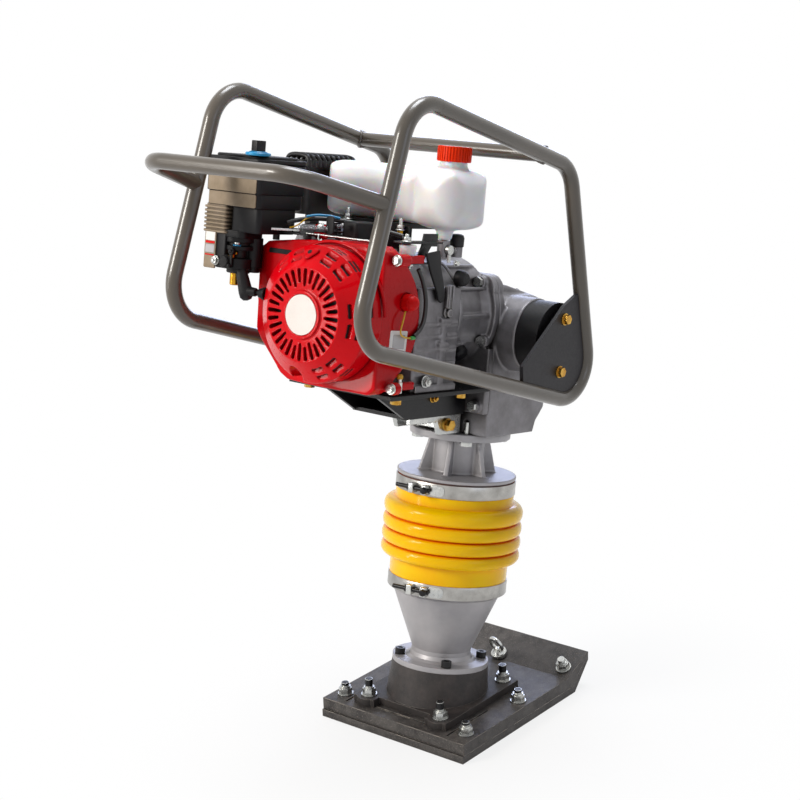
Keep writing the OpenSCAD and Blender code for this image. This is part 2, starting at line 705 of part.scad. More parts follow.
// ---- engine ----
module engine_block() {
    foot = bracket_h + 6;
    color("#8f9094") lean() {
        difference() {
            union() {
                box([block_rear, block_front], [-86, 70], [foot, foot + 150]);
                box([block_rear + 4, block_front - 4], [-92, 92], [foot, foot + 12]);
                shaft_cyl(block_rear, block_front, 86);
                shaft_cyl(flange_x - 6, flange_x + 6, 87);
                box([flange_x - 6, flange_x + 6], [-91, 75], [foot, shaft_h]);
                for (h = [24 : 18 : 96]) box([block_rear + 4, block_front - 4], [-89, -85],
                    [foot + h, foot + h + 4]);
                for (h = [30, 66, 102]) translate([flange_x - 12, -88, foot + h]) rotate([0, 90, 0])
                    cylinder(h = 24, r = 6);
                box([-210, -182], [-24, 40], [shaft_h + 60, tank_h - 37 - joint]);
            }
            shaft_cyl(block_rear + 12, block_front - 12, 17);
            shaft_cyl(block_rear - 1, block_front + 1, crank_r + joint);
            box([block_rear - 1, block_front + 1], [-200, 200], [foot - 60, foot]);
        }
        head_frame() {
            translate([0, 0, 70]) cylinder(h = 72, r = 38);
            for (i = [0 : 5]) translate([-46, -46, 84 + i * 9]) cube([92, 92, 3]);
        }
    }
}

module cylinder_head() {
    color("#a2a3a6") lean() head_frame() {
        translate([-48, -46, 142 + joint]) cube([96, 92, 24]);
        translate([-40, -38, 166]) cube([80, 76, 18]);
    }
}

module spark_plug() {
    color("#2b2b2d") lean() head_frame()
        translate([48 + joint, 20, 154]) rotate([0, 90, 0]) {
            cylinder(h = 16, r = 9);
            translate([0, 0, 15]) cylinder(h = 14, r = 7);
        }
}

// The fan cover's outline seen from behind, in Y and height from the engine shaft.
fan_line = [[-92, -94], [-92, 95], [-80, 102], [0, 102], [70, 97], [124, 90], [137, 80], [140, 65],
    [136, -38], [128, -50], [84, -96], [70, -103], [30, -105], [-80, -104]];

module fan_shell() {
    intersection() {
        translate([0, 0, shaft_h]) across(-fan_face, block_rear + 18) polygon(fan_line);
        union() {
            box([-fan_face - 1, block_rear + 19], [0, 200], [shaft_h - 150, shaft_h + 150]);
            box([-fan_face - 1, -305], [-200, 1], [shaft_h - 150, shaft_h + 150]);
            side_cyl(-345, shaft_h, -200, 1, 98);
        }
    }
}

module fan_cover() {
    color("#d0021b") lean() difference() {
        union() {
            // The two ears on the right side, for the bolts into the crankcase.
            for (q = ear_bolts) {
                shaft_cyl(q[0], block_rear - joint, ear_r, q[2], q[1]);
                box([q[0], block_rear - joint], [q[1], -86], [q[2] - 6, q[2] + 6]);
            }
            fan_shell();
        }
        shaft_cyl(-fan_face + 4, block_rear + 19, 82);
        shaft_cyl(-fan_face - 1, block_rear, 70);
        box([block_rear - joint, 0], [-88, 200], [shaft_h - 150, shaft_h + 110]);
        box([-fan_face + 4, block_rear + 1], [40, 132], [shaft_h - 40, shaft_h + 90]);
        side_cyl(button_x, button_h, -94, -70, 12 + gap);
    }
}

// A cooling slot of the starter, wider outside than inside, from the radius r0 outwards.
module slot_line(r0) {
    polygon([[r0, -1.9], [ring_r - 5, -2.8], [ring_r - 3, 0], [ring_r - 5, 2.8], [r0, 1.9], [r0 - 1, 0]]);
}

module starter_housing() {
    slot_step = 360 / ring_slots;
    color("#d0021b") lean() difference() {
        union() {
            shaft_cyl(-starter_face + 24, -fan_face + joint - 0.1, drum_base_r);
            shaft_cone(-starter_face, -starter_face + 24, ring_r - 1.5, drum_base_r);
            difference() {
                shaft_cyl(-starter_face - 3, -starter_face + 1, badge_r + badge_rim);
                shaft_cyl(-starter_face - 4, -starter_face, badge_r + gap);
            }
        }
        shaft_cyl(-starter_face + 6, -fan_face + 1, ring_r - 4);
        shaft_cyl(-starter_face - 1, -fan_face - 6, 12, cover_bolt[2], cover_bolt[1]);
        shaft_cyl(-fan_face - 7, -fan_face + 1, 4 + joint, cover_bolt[2], cover_bolt[1]);
        for (i = [0 : ring_slots - 1]) translate([-starter_face - 1, 0, shaft_h])
            rotate([slot_step * i, 0, 0]) across(0, 9) slot_line(badge_r + (i % 2 == 0 ? 12 : 17));
        for (a = [60, 120, 180, 240], k = [-0.5, 0.5], m = [0 : 3]) rotate_shaft(0, 0)
            rotate([a + 20 * k, 0, 0])
            box([8 * m - starter_face + 9, 8 * m - starter_face + 13.5], [ring_r - 8, 120], [-10, 10]);
    }
}

module starter_badge() {
    color("#f0e6df") lean() shaft_cyl(-starter_face - 3, -starter_face - joint, badge_r);
}

module cover_bolts() {
    color("#e6e6e6") lean() {
        for (q = [cover_bolt, ear_bolts[0], ear_bolts[1]])
            translate(q - [joint, 0, 0]) rotate([0, -90, 0]) {
                cylinder(h = 2, r = 8);
                translate([0, 0, 1]) hex(10, 5);
            }
    }
}

module starter_grip() {
    color("#141414") lean() translate([-366, 0, 0]) {
        translate([0, drum_base_r + gap, shaft_h + 18]) rotate([-90, 0, 0])
            cylinder(h = 14, r1 = 9, r2 = 6);
        translate([0, drum_base_r + 10, shaft_h + 18]) rotate([-90, 0, 0]) cylinder(h = 14, r = 2.5);
        translate([0, 122, shaft_h + 13]) rotate([-8, 0, 0]) {
            translate([0, 0, -4]) cylinder(h = 56, r = 9);
            translate([0, 0, 52]) sphere(r = 9, $fn = 32);
            translate([0, 0, -4]) sphere(r = 9, $fn = 32);
        }
    }
}

module air_cleaner() {
    color("#3b3936") lean() {
        translate([cleaner_x[0], cleaner_y[0], cleaner_h[0]])
            linear_extrude(cleaner_h[1] - cleaner_h[0] - joint)
            rounded(cleaner_x[1] - cleaner_x[0], cleaner_y[1] - cleaner_y[0], 8);
        for (i = [0 : 6]) translate([cleaner_x[0] + 2, 160, cleaner_h[0] - 6 * i - 5.5]) linear_extrude(4)
            rounded(44, 46, 4);
        box([cleaner_x[0] + 5, cleaner_x[0] + 43], [163, 203], [cleaner_h[0] - 44, cleaner_h[0] + 1]);
        box([cleaner_x[0] + 5, cleaner_x[0] + 40], [188, 206], [cleaner_h[0] - 94, cleaner_h[0] - 43]);
    }
}

module air_cleaner_lid() {
    color("#191919") lean() {
        translate([cleaner_x[0] - 2, cleaner_y[0] - 2, cleaner_h[1]]) linear_extrude(7)
            rounded(cleaner_x[1] - cleaner_x[0] + 4, cleaner_y[1] - cleaner_y[0] + 2, 9);
        translate([cleaner_x[0] + 6, cleaner_y[0] + 6, cleaner_h[1] + 6]) linear_extrude(5)
            rounded(cleaner_x[1] - cleaner_x[0] - 12, cleaner_y[1] - cleaner_y[0] - 14, 12);
    }
}

module cleaner_knob() {
    color("#1790c8") lean() translate([-378, 116, cleaner_h[1] + 11 + gap]) {
        cylinder(h = 5, r = 18);
        translate([-9, -6, 4]) cube([18, 12, 17]);
    }
}

// The cylinder's own frame: Z runs out along the bore, away from the crankshaft.
module head_frame() {
    translate([head_x, 0, shaft_h]) rotate([-head_tilt, 0, 0]) children();
}

module carburettor() {
    color("#4a4845") lean() {
        shaft_cyl(carb_at[0] - 12, block_rear - 60, 17, carb_h, carb_at[1]);
        shaft_cyl(block_rear - 61, head_x - 48 - joint, 13, carb_h - 1, carb_at[1] - 4);
        shaft_cyl(carb_at[0] - 27, carb_at[0] - 21, choke_pin_r, carb_h + 2, carb_at[1] - 10);
        translate([carb_at[0], carb_at[1], carb_h - 40]) cylinder(h = 34, r = 19);
        translate([carb_at[0], carb_at[1], carb_h - 48]) cylinder(h = 9, r = 6);
        box([carb_at[0] - 22, carb_at[0] + 26], [carb_at[1] - 18, carb_at[1] + 18],
            [carb_h - 20, cleaner_h[0] - joint]);
    }
}

module choke_lever() {
    color("#222222") lean() translate([carb_at[0] - 22 - gap, carb_at[1] - 10, carb_h + 2]) difference() {
        union() {
            rotate([0, -90, 0]) cylinder(h = 4, r = 5);
            translate([-3, -3, -22]) cube([3, 6, 22]);
        }
        rotate([0, -90, 0]) translate([0, 0, -1]) cylinder(h = 6, r = choke_pin_r + joint);
    }
}

module throttle_lever() {
    color("#c8c8c8") lean() translate([throttle_at[0], throttle_at[1], plate_h + 4]) rotate([0, 0, 152])
        linear_extrude(3) difference() {
        union() {
            circle(r = 9);
            translate([5, -5]) square([51, 10]);
        }
        circle(r = 3 + joint);
    }
}

module control_plate() {
    color("#191919") lean() {
        box([-334, -250], [52, 126], [plate_h, plate_h + plate_t]);
        for (x = [-326, -257]) {
            translate([x, 60, plate_h - 4.7]) cylinder(h = 5, r = 5);
            translate([x, 118, plate_h - 11.3]) cylinder(h = 12, r = 5);
        }
        translate([throttle_at[0], throttle_at[1], plate_h + 2]) {
            cylinder(h = 2 - gap, r = 6);
            cylinder(h = 6, r = 3);
        }
        box([-268, -252], [60, 64], [plate_h + 2, plate_h + 19]);
    }
}

module muffler() {
    color("#77736e") lean() {
        translate([muffler_at[0], muffler_at[1], muffler_h]) linear_extrude(muffler_box[2])
            rounded(muffler_box[0], muffler_box[1], 12);
        head_frame() translate([-20, -34, 184 + joint]) cube([40, 30, 10]);
        box([head_x - 10, head_x + 10], [161, 172], [shaft_h + 94, muffler_h + 1]);
    }
}

module muffler_guard() {
    color("#1d1c1b") lean() difference() {
        translate([muffler_at[0] - guard_rim, muffler_at[1] - 2, muffler_top + joint]) linear_extrude(14)
            rounded(muffler_box[0] + 2 * guard_rim, muffler_box[1] + 4, 14);
        translate([muffler_at[0], muffler_at[1] + 1, muffler_top]) linear_extrude(12)
            rounded(muffler_box[0], muffler_box[1] - 2, 12);
        for (i = [0 : 8]) translate([muffler_at[0] + 6 + 12 * i, muffler_at[1] + 6, muffler_top + 8])
            cube([6, muffler_box[1] - 12, 20]);
    }
}

// A blow-moulded lobe: rounded in plan and rounded again in both upright directions.
module tank_lobe(x, y, w, d, z, h, r) {
    intersection() {
        translate([x, y, z]) linear_extrude(h) rounded(w, d, r);
        translate([x, y, z]) rotate([90, 0, 90]) linear_extrude(w) rounded(d, h, r - 6);
        translate([x, y + d, z]) rotate([90, 0, 0]) linear_extrude(d) rounded(w, h, r - 4);
    }
}

module fuel_tank() {
    color("#eceae6") lean() difference() {
        union() {
            tank_lobe(tank_x, tank_y, tank_depth, 88, tank_h, tank_height, 38);
            tank_lobe(tank_x + 5, tank_y + 62, tank_depth - 6, tank_length - 62, tank_h + 4,
                tank_height - 6, 30);
            translate([filler_x, filler_y, tank_h + tank_height - 12]) cylinder(h = 32, r = cap_r - 4);
            translate([filler_x - 8, filler_y, tank_h - 16]) cylinder(h = 18, r = 12);
        }
        translate([filler_x, filler_y, tank_h + 6]) cylinder(h = tank_height + 40, r = cap_r - 8);
    }
}

module fuel_cap() {
    color("#f53a00") lean() translate([filler_x, filler_y, tank_h + tank_height + 9 + gap]) difference() {
        union() {
            cylinder(h = 22, r = cap_r);
            for (i = [0 : 35]) rotate([0, 0, 10 * i]) translate([cap_r - 1, -1, 1]) cube([2, 2, 20]);
        }
        translate([0, 0, -1]) cylinder(h = 16, r = cap_r - 4 + gap);
    }
}

module fuel_cock() {
    color("#7f8ba0") lean() translate([filler_x - 8, filler_y, tank_h - 16 - joint]) {
        translate([0, 0, -24]) cylinder(h = 24, r = 9);
        translate([6, 0, -14]) rotate([0, 90, 0]) cylinder(h = 22, r = 5);
        translate([32, 0, -24]) cylinder(h = 26, r = 9);
    }
}

module cock_lever() {
    color("#6f7fb0") lean() translate([filler_x - 8, filler_y - 9 - gap, tank_h - 29]) rotate([90, 0, 0]) {
        cylinder(h = 5, r = 7);
        translate([-3, -18, 1]) cube([6, 18, 3]);
    }
}

module tank_bracket() {
    color("#1f1e1e") lean() {
        box([-200, -110], [-10, 124], [tank_h - 4, tank_h + 4 - joint]);
        box([-200, -194], [-24, 52], [tank_h - 34, tank_h + joint]);
        box([-200, -194], [-24, 8], [tank_h - 34, tank_h - joint]);
        for (y = [-22, 20]) box([-200, -186], [y, y + 18], [tank_h - 37, tank_h - 33]);
    }
}

module stop_switch() {
    color("#e01010") lean() translate([button_x, -84, button_h]) rotate([90, 0, 0]) {
        cylinder(h = 18, r = 12);
        translate([0, 0, 17]) sphere(r = 11, $fn = 32);
    }
}

// The stop switch's leads, with heights from the engine shaft.
wire_yellow = [[-288.6, -98, 15], [-293, -100, 9], [-297, -100, 2], [-300, -99, -6], [-297, -98, -14],
    [-290, -97, -19], [-279, -96, -23], [-266, -96, -24]];
wire_black = [[-266, -96, -24], [-256, -95, -20], [-247, -95, -13], [-241, -95, -4], [-239, -95, 8],
    [-239, -95, 25], [-244, -95, 39], [-251, -95, 50], [-258, -96, 60]];

module stop_wires() {
    color("#202020") lean() translate([0, 0, shaft_h]) {
        swept(wire_yellow, 1.3);
        swept(wire_black, 2.4);
    }
}

module rubber_dampers() {
    color("#151515") lean() for (s = [-1, 1]) {
        side_cyl(damper_x, damper_h, s > 0 ? boss_face + joint : -damper_shoulder,
            s > 0 ? damper_shoulder : -boss_face - joint, boss_r - 2);
        side_cyl(damper_x, damper_h, s > 0 ? damper_shoulder - 1 : -damper_face,
            s > 0 ? damper_face : 1 - damper_shoulder, damper_hub_r);
    }
}

// ---- moving train ----
module crankshaft() {
    color("#8a8c90") lean() {
        shaft_cyl(-366, -104, crank_r);
        shaft_cyl(-318, -296, 76);
        for (a = [0 : 20 : 359]) rotate_shaft(0, 0) rotate([a, 0, 0]) box([-326, -317], [40, 74], [-2, 2]);
    }
}

module clutch_shoes() {
    color("#6d655c") lean() difference() {
        shaft_cyl(-136, -114, 52);
        shaft_cyl(-137, -113, crank_r + joint);
        for (a = [0, 60, 120]) rotate_shaft(0, 0) rotate([a, 0, 0])
            box([-137, -113], [-60, 60], [-1.5, 1.5]);
    }
    color("#6d655c") lean() difference() {
        shaft_cyl(-113.9, -108, 30);
        shaft_cyl(-137, -100, crank_r + joint);
    }
}

function tooth(a, step, root, tip) = [for (q = [[-0.36, root], [-0.17, tip], [0.17, tip], [0.36, root]])
    let (b = a + q[0] * step) [q[1] * cos(b), q[1] * sin(b)]];

module gear_2d(teeth, m, turn = 0) {
    pitch = m * teeth / 2;
    step = 360 / teeth;
    polygon([for (i = [0 : teeth - 1]) each tooth(turn + i * step, step, pitch - 1.3 * m,
        pitch + 0.7 * m)]);
}

module clutch_drum() {
    color("#75777b") lean() {
        difference() {
            shaft_cyl(-138, -94, 58);
            shaft_cyl(-139, -100, 54);
        }
        shaft_cyl(-95, -24, drum_shaft_r);
        translate([gear_x, 0, shaft_h]) rotate([90, 0, 90]) linear_extrude(gear_face)
            gear_2d(pinion_teeth, gear_module, -90);
    }
}

module crank_gear() {
    color("#7d7f84") lean() {
        translate([gear_x, 0, gear_h]) rotate([90, 0, 90]) linear_extrude(gear_face)
            gear_2d(gear_teeth, gear_module, 90 + 180 / gear_teeth);
        shaft_cyl(case_rear - 7, gear_x + 1, gear_shaft_r - joint, gear_h);
        shaft_cyl(gear_x + gear_face - 1, 14, 9, gear_h + crank_throw);
    }
}

module con_rod() {
    color("#9b9da0") lean() difference() {
        union() {
            shaft_cyl(-8, 8, 17, gear_h + crank_throw);
            shaft_cyl(-8, 8, 12, gear_h + crank_throw - rod_length);
            box([-6, 6], [-8, 8], [gear_h + crank_throw - rod_length, gear_h + crank_throw]);
        }
        shaft_cyl(-20, 20, 9 + 0.1, gear_h + crank_throw);
        shaft_cyl(-20, 20, 7, gear_h + crank_throw - rod_length);
    }
}

// ---- guard frame ----
module guard_loop(s, more = 0) {
    translate([0, s * loop_y, 0]) rotate([90, 0, 0])
        bent_tube(loop_points, loop_bends, tube_d + more, true);
}

module guard_right() {
    color("#7d7468") guard_loop(-1);
}

module guard_left() {
    color("#7d7468") guard_loop(1);
}

module guard_crossbar() {
    color("#7d7468") difference() {
        translate([crossbar_x, -loop_y, crossbar_h]) rotate([-90, 0, 0])
            cylinder(h = 2 * loop_y, r = tube_d / 2 - 1);
        for (s = [-1, 1]) loop_run(s, 0, 1, joint);
    }
}

// One straight side of a loop as a plain rod, grown by g: it copes the tubes that are welded to it.
module loop_run(s, i, k, g) {
    a = loop_points[i];
    b = loop_points[k];
    d = b - a;
    translate([a[0], s * loop_y, a[1]]) rotate([0, 90 - atan2(d[1], d[0]), 0])
        cylinder(h = norm(d), r = tube_d / 2 + g);
}

module rear_handle() {
    color("#7d7468") difference() {
        translate([handle_x, 0, handle_h]) rotate([0, handle_tilt, 0]) rotate([0, 0, 90])
            bent_tube([[loop_y, 0], [handle_half, handle_reach], [-handle_half, handle_reach],
                [-loop_y, 0]],
                [0, bend_r - 5, bend_r - 5, 0], tube_d - 1, false);
        for (s = [-1, 1]) loop_run(s, 3, 0, joint);
    }
}

module gusset_plates() {
    // The welded edges lie inside the tubes, and the loop's bend is followed by an arc.
    arc = [for (a = [-80 : 17 : 5]) gusset_arc + gusset_arc_r * [cos(a), sin(a)]];
    outline = concat([[95, 678], [55, 665], [-54, 597], [-54, 571], [49, 530]], arc);
    color("#3d3a3e") difference() {
        for (s = [-1, 1]) side_plate(outline, s * loop_y - gusset_thick / 2, s * loop_y + gusset_thick / 2);
        for (s = [-1, 1]) guard_loop(s, 2 * joint);
    }
}

module gusset_bolts() {
    color("#c9a43a") for (s = [-1, 1], p = [[54, 645], [38, 568]])
        translate([p[0], s * (loop_y + gusset_thick / 2 + joint), p[1]]) rotate([-s * 90, 0, 0]) {
            cylinder(h = 2, r = 9);
            translate([0, 0, 1]) hex(13, 7);
        }
}

sole_plate();
shoe_deck();
shoe_nuts();
lifting_eye();
foot_base();
foot_cone();
cone_bolts();
spring_cylinder();
lower_spring();
upper_spring();
lower_clamp();
bellows();
guide_cylinder();
upper_clamp();
neck_bolts();
piston_rod();
gear_case();
clutch_housing();
housing_bolts();
housing_plug();
mount_block();
drain_plug();
engine_bracket();
bracket_bolts();
engine_block();
cylinder_head();
spark_plug();
fan_cover();
starter_housing();
starter_badge();
cover_bolts();
starter_grip();
air_cleaner();
air_cleaner_lid();
cleaner_knob();
carburettor();
choke_lever();
throttle_lever();
control_plate();
muffler();
muffler_guard();
fuel_tank();
fuel_cap();
fuel_cock();
cock_lever();
tank_bracket();
stop_switch();
stop_wires();
rubber_dampers();
crankshaft();
clutch_shoes();
clutch_drum();
crank_gear();
con_rod();
guard_right();
guard_left();
guard_crossbar();
rear_handle();
gusset_plates();
gusset_bolts();
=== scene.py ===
# %% [markdown]
# # A jumping jack rammer
# A rammer is a petrol engine that jumps up and down on one leg. The engine turns a crank inside the gear
# case, the crank works a piston between two springs in the leg, and the springs throw the shoe at the
# ground. The operator walks behind it and steers with the tubular frame.
#
# The engineering model is loaded first and is never changed. What is modelled here goes round it, in the
# same metres and with the same origin, so a piece goes where the engineering model says.

# %% Load the engineering model
import bpy
import json
import math
from mathutils import Matrix, Vector


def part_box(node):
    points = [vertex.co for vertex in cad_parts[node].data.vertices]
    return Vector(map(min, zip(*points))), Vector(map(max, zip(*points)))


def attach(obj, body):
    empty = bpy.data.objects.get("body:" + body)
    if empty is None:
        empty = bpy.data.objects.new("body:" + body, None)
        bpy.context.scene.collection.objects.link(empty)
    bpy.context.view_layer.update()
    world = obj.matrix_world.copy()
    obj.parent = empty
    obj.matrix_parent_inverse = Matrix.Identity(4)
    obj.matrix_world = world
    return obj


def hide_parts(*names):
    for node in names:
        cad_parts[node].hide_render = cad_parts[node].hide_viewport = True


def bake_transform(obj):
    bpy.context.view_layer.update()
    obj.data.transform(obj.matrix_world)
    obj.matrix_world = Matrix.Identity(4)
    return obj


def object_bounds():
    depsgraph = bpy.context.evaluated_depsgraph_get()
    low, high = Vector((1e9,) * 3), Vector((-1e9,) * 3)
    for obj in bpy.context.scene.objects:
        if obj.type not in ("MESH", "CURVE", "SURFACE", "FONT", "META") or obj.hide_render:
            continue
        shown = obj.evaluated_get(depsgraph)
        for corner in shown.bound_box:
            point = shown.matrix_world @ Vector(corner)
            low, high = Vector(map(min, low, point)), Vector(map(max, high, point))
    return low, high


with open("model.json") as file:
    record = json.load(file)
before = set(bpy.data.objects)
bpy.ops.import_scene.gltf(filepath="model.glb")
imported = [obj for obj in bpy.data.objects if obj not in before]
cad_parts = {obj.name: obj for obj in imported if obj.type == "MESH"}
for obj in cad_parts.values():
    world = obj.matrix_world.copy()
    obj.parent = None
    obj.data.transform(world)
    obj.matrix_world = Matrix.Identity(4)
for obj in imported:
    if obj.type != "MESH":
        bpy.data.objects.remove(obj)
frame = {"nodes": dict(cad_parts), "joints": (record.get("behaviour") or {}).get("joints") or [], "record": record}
nodes = frame["nodes"]
cad_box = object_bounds()
print("CAD box", [round(v, 3) for v in (*cad_box[0], *cad_box[1])], "with", len(nodes), "nodes")

# %% [markdown]
# The whole machine leans forward with its leg. Working in the leaned directions keeps the numbers simple,
# so one matrix turns them into the model's own. The lean comes from the joint that the leg strokes along,
# and the foot of the leg's axis from the joint of the engine shaft.

# %% The leaned directions
joints = {j["name"]: j for j in frame["joints"]}
MM = 0.001
stroke_axis = Vector(joints["leg_stroke"]["axis"]).normalized()
lean = math.atan2(stroke_axis.x, stroke_axis.z)
shaft_point = Vector(joints["engine_shaft_spin"]["pos_m"])
shaft_height = shaft_point.z / math.cos(lean)
leg_foot = shaft_point - shaft_height * stroke_axis
LEANED = Matrix.Translation(leg_foot) @ Matrix.Rotation(lean, 4, "Y")


def leaned(forward, left, up):
    """A point given in millimetres in the leaned directions, in the model's metres."""
    return LEANED @ (Vector((forward, left, up)) * MM)


print("lean", round(math.degrees(lean), 2), "degrees, shaft at", round(shaft_height / MM, 1), "mm up the leg")

# %% [markdown]
# ## Camera
# The camera stands behind the machine and to its right, a little above it. A long lens of 81 mm keeps the
# tubes nearly parallel, and the camera rolls by two degrees, as one held in the hand does.

# %% Camera
camera_data = bpy.data.cameras.new("camera")
camera = bpy.data.objects.new("camera", camera_data)
bpy.context.collection.objects.link(camera)
camera_turn, camera_tilt, camera_roll = (math.radians(a) for a in (-50.60, 16.52, -1.85))
back = Vector((math.sin(camera_turn) * math.cos(camera_tilt), -math.cos(camera_turn) * math.cos(camera_tilt),
               math.sin(camera_tilt)))
right = Vector((math.cos(camera_turn), math.sin(camera_turn), 0))
upward = back.cross(right)
rolled_right = math.cos(camera_roll) * right + math.sin(camera_roll) * upward
rolled_up = math.cos(camera_roll) * upward - math.sin(camera_roll) * right
placed = Matrix((rolled_right, rolled_up, back)).transposed().to_4x4()
placed.translation = Vector((-2.1042, -1.6274, 1.2966))
camera.matrix_world = placed
camera_data.sensor_width = 36
camera_data.lens = 81.08
camera_data.clip_end = 60
bpy.context.scene.camera = camera
print("camera at", [round(v, 2) for v in placed.translation], "m, lens", round(camera_data.lens, 1), "mm")

# %% [markdown]
# ## Sky
# The studio's sky looks white to the camera and in reflections, but it lights the object only weakly.
# Otherwise pale pieces would wash out and black ones would turn grey. The ray itself tells the two cases
# apart.

# %% World
world = bpy.data.worlds.new("studio_sky")
bpy.context.scene.world = world
world.use_nodes = True
sky_tree = world.node_tree
sky_tree.nodes.clear()


def add_node(tree, kind, settings=None, links=None):
    """Adds one node, sets its sockets or properties, and links its inputs to other nodes' outputs."""
    node = tree.nodes.new("ShaderNode" + kind)
    for name, value in (settings or {}).items():
        if isinstance(name, str) and hasattr(node, name):
            setattr(node, name, value)
    for name, value in (settings or {}).items():
        if not (isinstance(name, str) and hasattr(node, name)):
            node.inputs[name].default_value = value
    for name, source in (links or {}).items():
        tree.links.new(source, node.inputs[name])
    return node


def seen_directly(tree):
    """1 where a ray comes from the camera, a mirror or a clear thing, and 0 where it lights the object."""
    rays = add_node(tree, "LightPath")
    mirrored = add_node(tree, "Math", {"operation": "MAXIMUM"},
                        {0: rays.outputs["Is Glossy Ray"], 1: rays.outputs["Is Transmission Ray"]})
    return add_node(tree, "Math", {"operation": "MAXIMUM"},
                    {0: rays.outputs["Is Camera Ray"], 1: mirrored.outputs[0]}).outputs[0]


SKY_LIGHT = 0.2
sky_shown = seen_directly(sky_tree)
sky_strength = add_node(sky_tree, "MapRange", {"To Min": SKY_LIGHT, "To Max": 1.0}, {"Value": sky_shown})
sky = add_node(sky_tree, "Background", {"Color": (1, 1, 1, 1)}, {"Strength": sky_strength.outputs[0]})
add_node(sky_tree, "OutputWorld", None, {"Surface": sky.outputs[0]})
bpy.context.scene.view_settings.view_transform = "Standard"
print("sky lights the object at", SKY_LIGHT)

# %% [markdown]
# ## Lamps
# A large warm lamp stands behind the operator and does most of the work, and a wide one hangs overhead. A
# dim cool one fills the right side, a blue one draws the edges on the toe side, and a tall narrow strip
# behind the machine leaves a bright streak along tubes and folds.

# %% Lamps


def lamp(name, place, aim, width, height, watts, colour):
    """A flat soft lamp at a place, aimed at a point."""
    data = bpy.data.lights.new(name, "AREA")
    data.shape = "RECTANGLE"
    data.size = width
    data.size_y = height
    data.energy = watts
    data.color = colour
    made = bpy.data.objects.new(name, data)
    bpy.context.collection.objects.link(made)
    made.location = place
    made.rotation_mode = "QUATERNION"
    made.rotation_quaternion = (Vector(aim) - Vector(place)).to_track_quat("-Z", "Y")


machine_middle = (cad_box[0] + cad_box[1]) / 2
lamp("key_lamp", (-2.5, 1.3, 2.1), machine_middle, 0.9, 0.9, 66, (1.0, 0.96, 0.9))
lamp("side_lamp", (-0.3, -3.0, 1.5), machine_middle, 1.3, 1.3, 7, (0.72, 0.8, 1.0))
lamp("top_lamp", (0.5, 0.2, 3.1), machine_middle, 1.2, 1.2, 54, (0.92, 0.95, 1.0))
lamp("toe_lamp", (2.6, 1.6, 1.2), machine_middle, 1.2, 1.2, 20, (0.55, 0.65, 1.0))
lamp("strip_lamp", (-2.55, 1.75, 0.95), machine_middle, 0.16, 1.3, 9, (1.0, 0.97, 0.93))

# %% [markdown]
# ## Selecting, settling and finishing
# An operator works on whatever is selected, so the selection is cleared before each piece. When a piece is
# done its place goes into its mesh and its object stays at the origin, so that patterns can't slide on it.

# %% Small helpers


def deselect_everything():
    """Clears the selection, because an operator acts on all that is selected."""
    for other in list(bpy.context.selected_objects):
        other.select_set(False)


def only(made):
    """Selects one object alone and makes it active."""
    deselect_everything()
    bpy.context.view_layer.objects.active = made
    made.select_set(True)


def settle(made, name, place):
    """Names a finished piece and moves its place into its mesh."""
    made.name = name
    made.data.name = name
    made.data.transform(place @ made.matrix_basis)
    made.matrix_basis = Matrix.Identity(4)
    return made


def finish_with(made, kind, **settings):
    """Adds one modifier and applies it."""
    only(made)
    modifier = made.modifiers.new(kind, kind)
    for name, value in settings.items():
        setattr(modifier, name, value)
    bpy.ops.object.modifier_apply(modifier=modifier.name)


print("small helpers ready")

# %% [markdown]
# ## Lathe pieces
# Caps, rings, knobs and bellows are round, so each is a section spun about its axis. A circle gives the
# section's corners in their order, every corner is moved to its radius and height, and the spin closes the
# ring.

# %% Lathe


def turned(name, section, place, steps=96, smooth=35):
    """A lathe piece: the closed section, (radius, height) in mm, spun round the place's Z."""
    deselect_everything()
    bpy.ops.mesh.primitive_circle_add(vertices=len(section), radius=1)
    made = bpy.context.object
    for vertex, (radius, height) in zip(made.data.vertices, section):
        vertex.co = (radius * MM, 0, height * MM)
    bpy.ops.object.mode_set(mode="EDIT")
    bpy.ops.mesh.select_all(action="SELECT")
    bpy.ops.mesh.spin(steps=steps, angle=2 * math.pi, center=(0, 0, 0), axis=(0, 0, 1))
    bpy.ops.mesh.select_all(action="SELECT")
    bpy.ops.mesh.remove_doubles(threshold=1e-6)
    bpy.ops.mesh.normals_make_consistent(inside=False)
    bpy.ops.object.mode_set(mode="OBJECT")
    bpy.ops.object.shade_smooth_by_angle(angle=math.radians(smooth))
    return settle(made, name, place)


print("lathe ready")

# %% [markdown]
# ## Plates
# Sheet parts and boxes are an outline raised to a thickness. A filled circle gives the outline's corners,
# one extrude gives the thickness, and a narrow bevel takes the sharpness off the edges.

# %% Plates


def plate(name, outline, thickness, place, bevel=0.0):
    """A flat piece: the outline, (x, y) in mm, raised by the thickness along the place's Z."""
    deselect_everything()
    bpy.ops.mesh.primitive_circle_add(vertices=len(outline), radius=1, fill_type="NGON")
    made = bpy.context.object
    for vertex, (x, y) in zip(made.data.vertices, outline):
        vertex.co = (x * MM, y * MM, 0)
    bpy.ops.object.mode_set(mode="EDIT")
    bpy.ops.mesh.select_all(action="SELECT")
    bpy.ops.mesh.extrude_region_move(TRANSFORM_OT_translate={"value": (0, 0, thickness * MM)})
    bpy.ops.mesh.select_all(action="SELECT")
    bpy.ops.mesh.normals_make_consistent(inside=False)
    bpy.ops.object.mode_set(mode="OBJECT")
    if bevel:
        finish_with(made, "BEVEL", width=bevel * MM, segments=3, limit_method="ANGLE")
    bpy.ops.object.shade_smooth_by_angle(angle=math.radians(35))
    return settle(made, name, place)


print("plates ready")

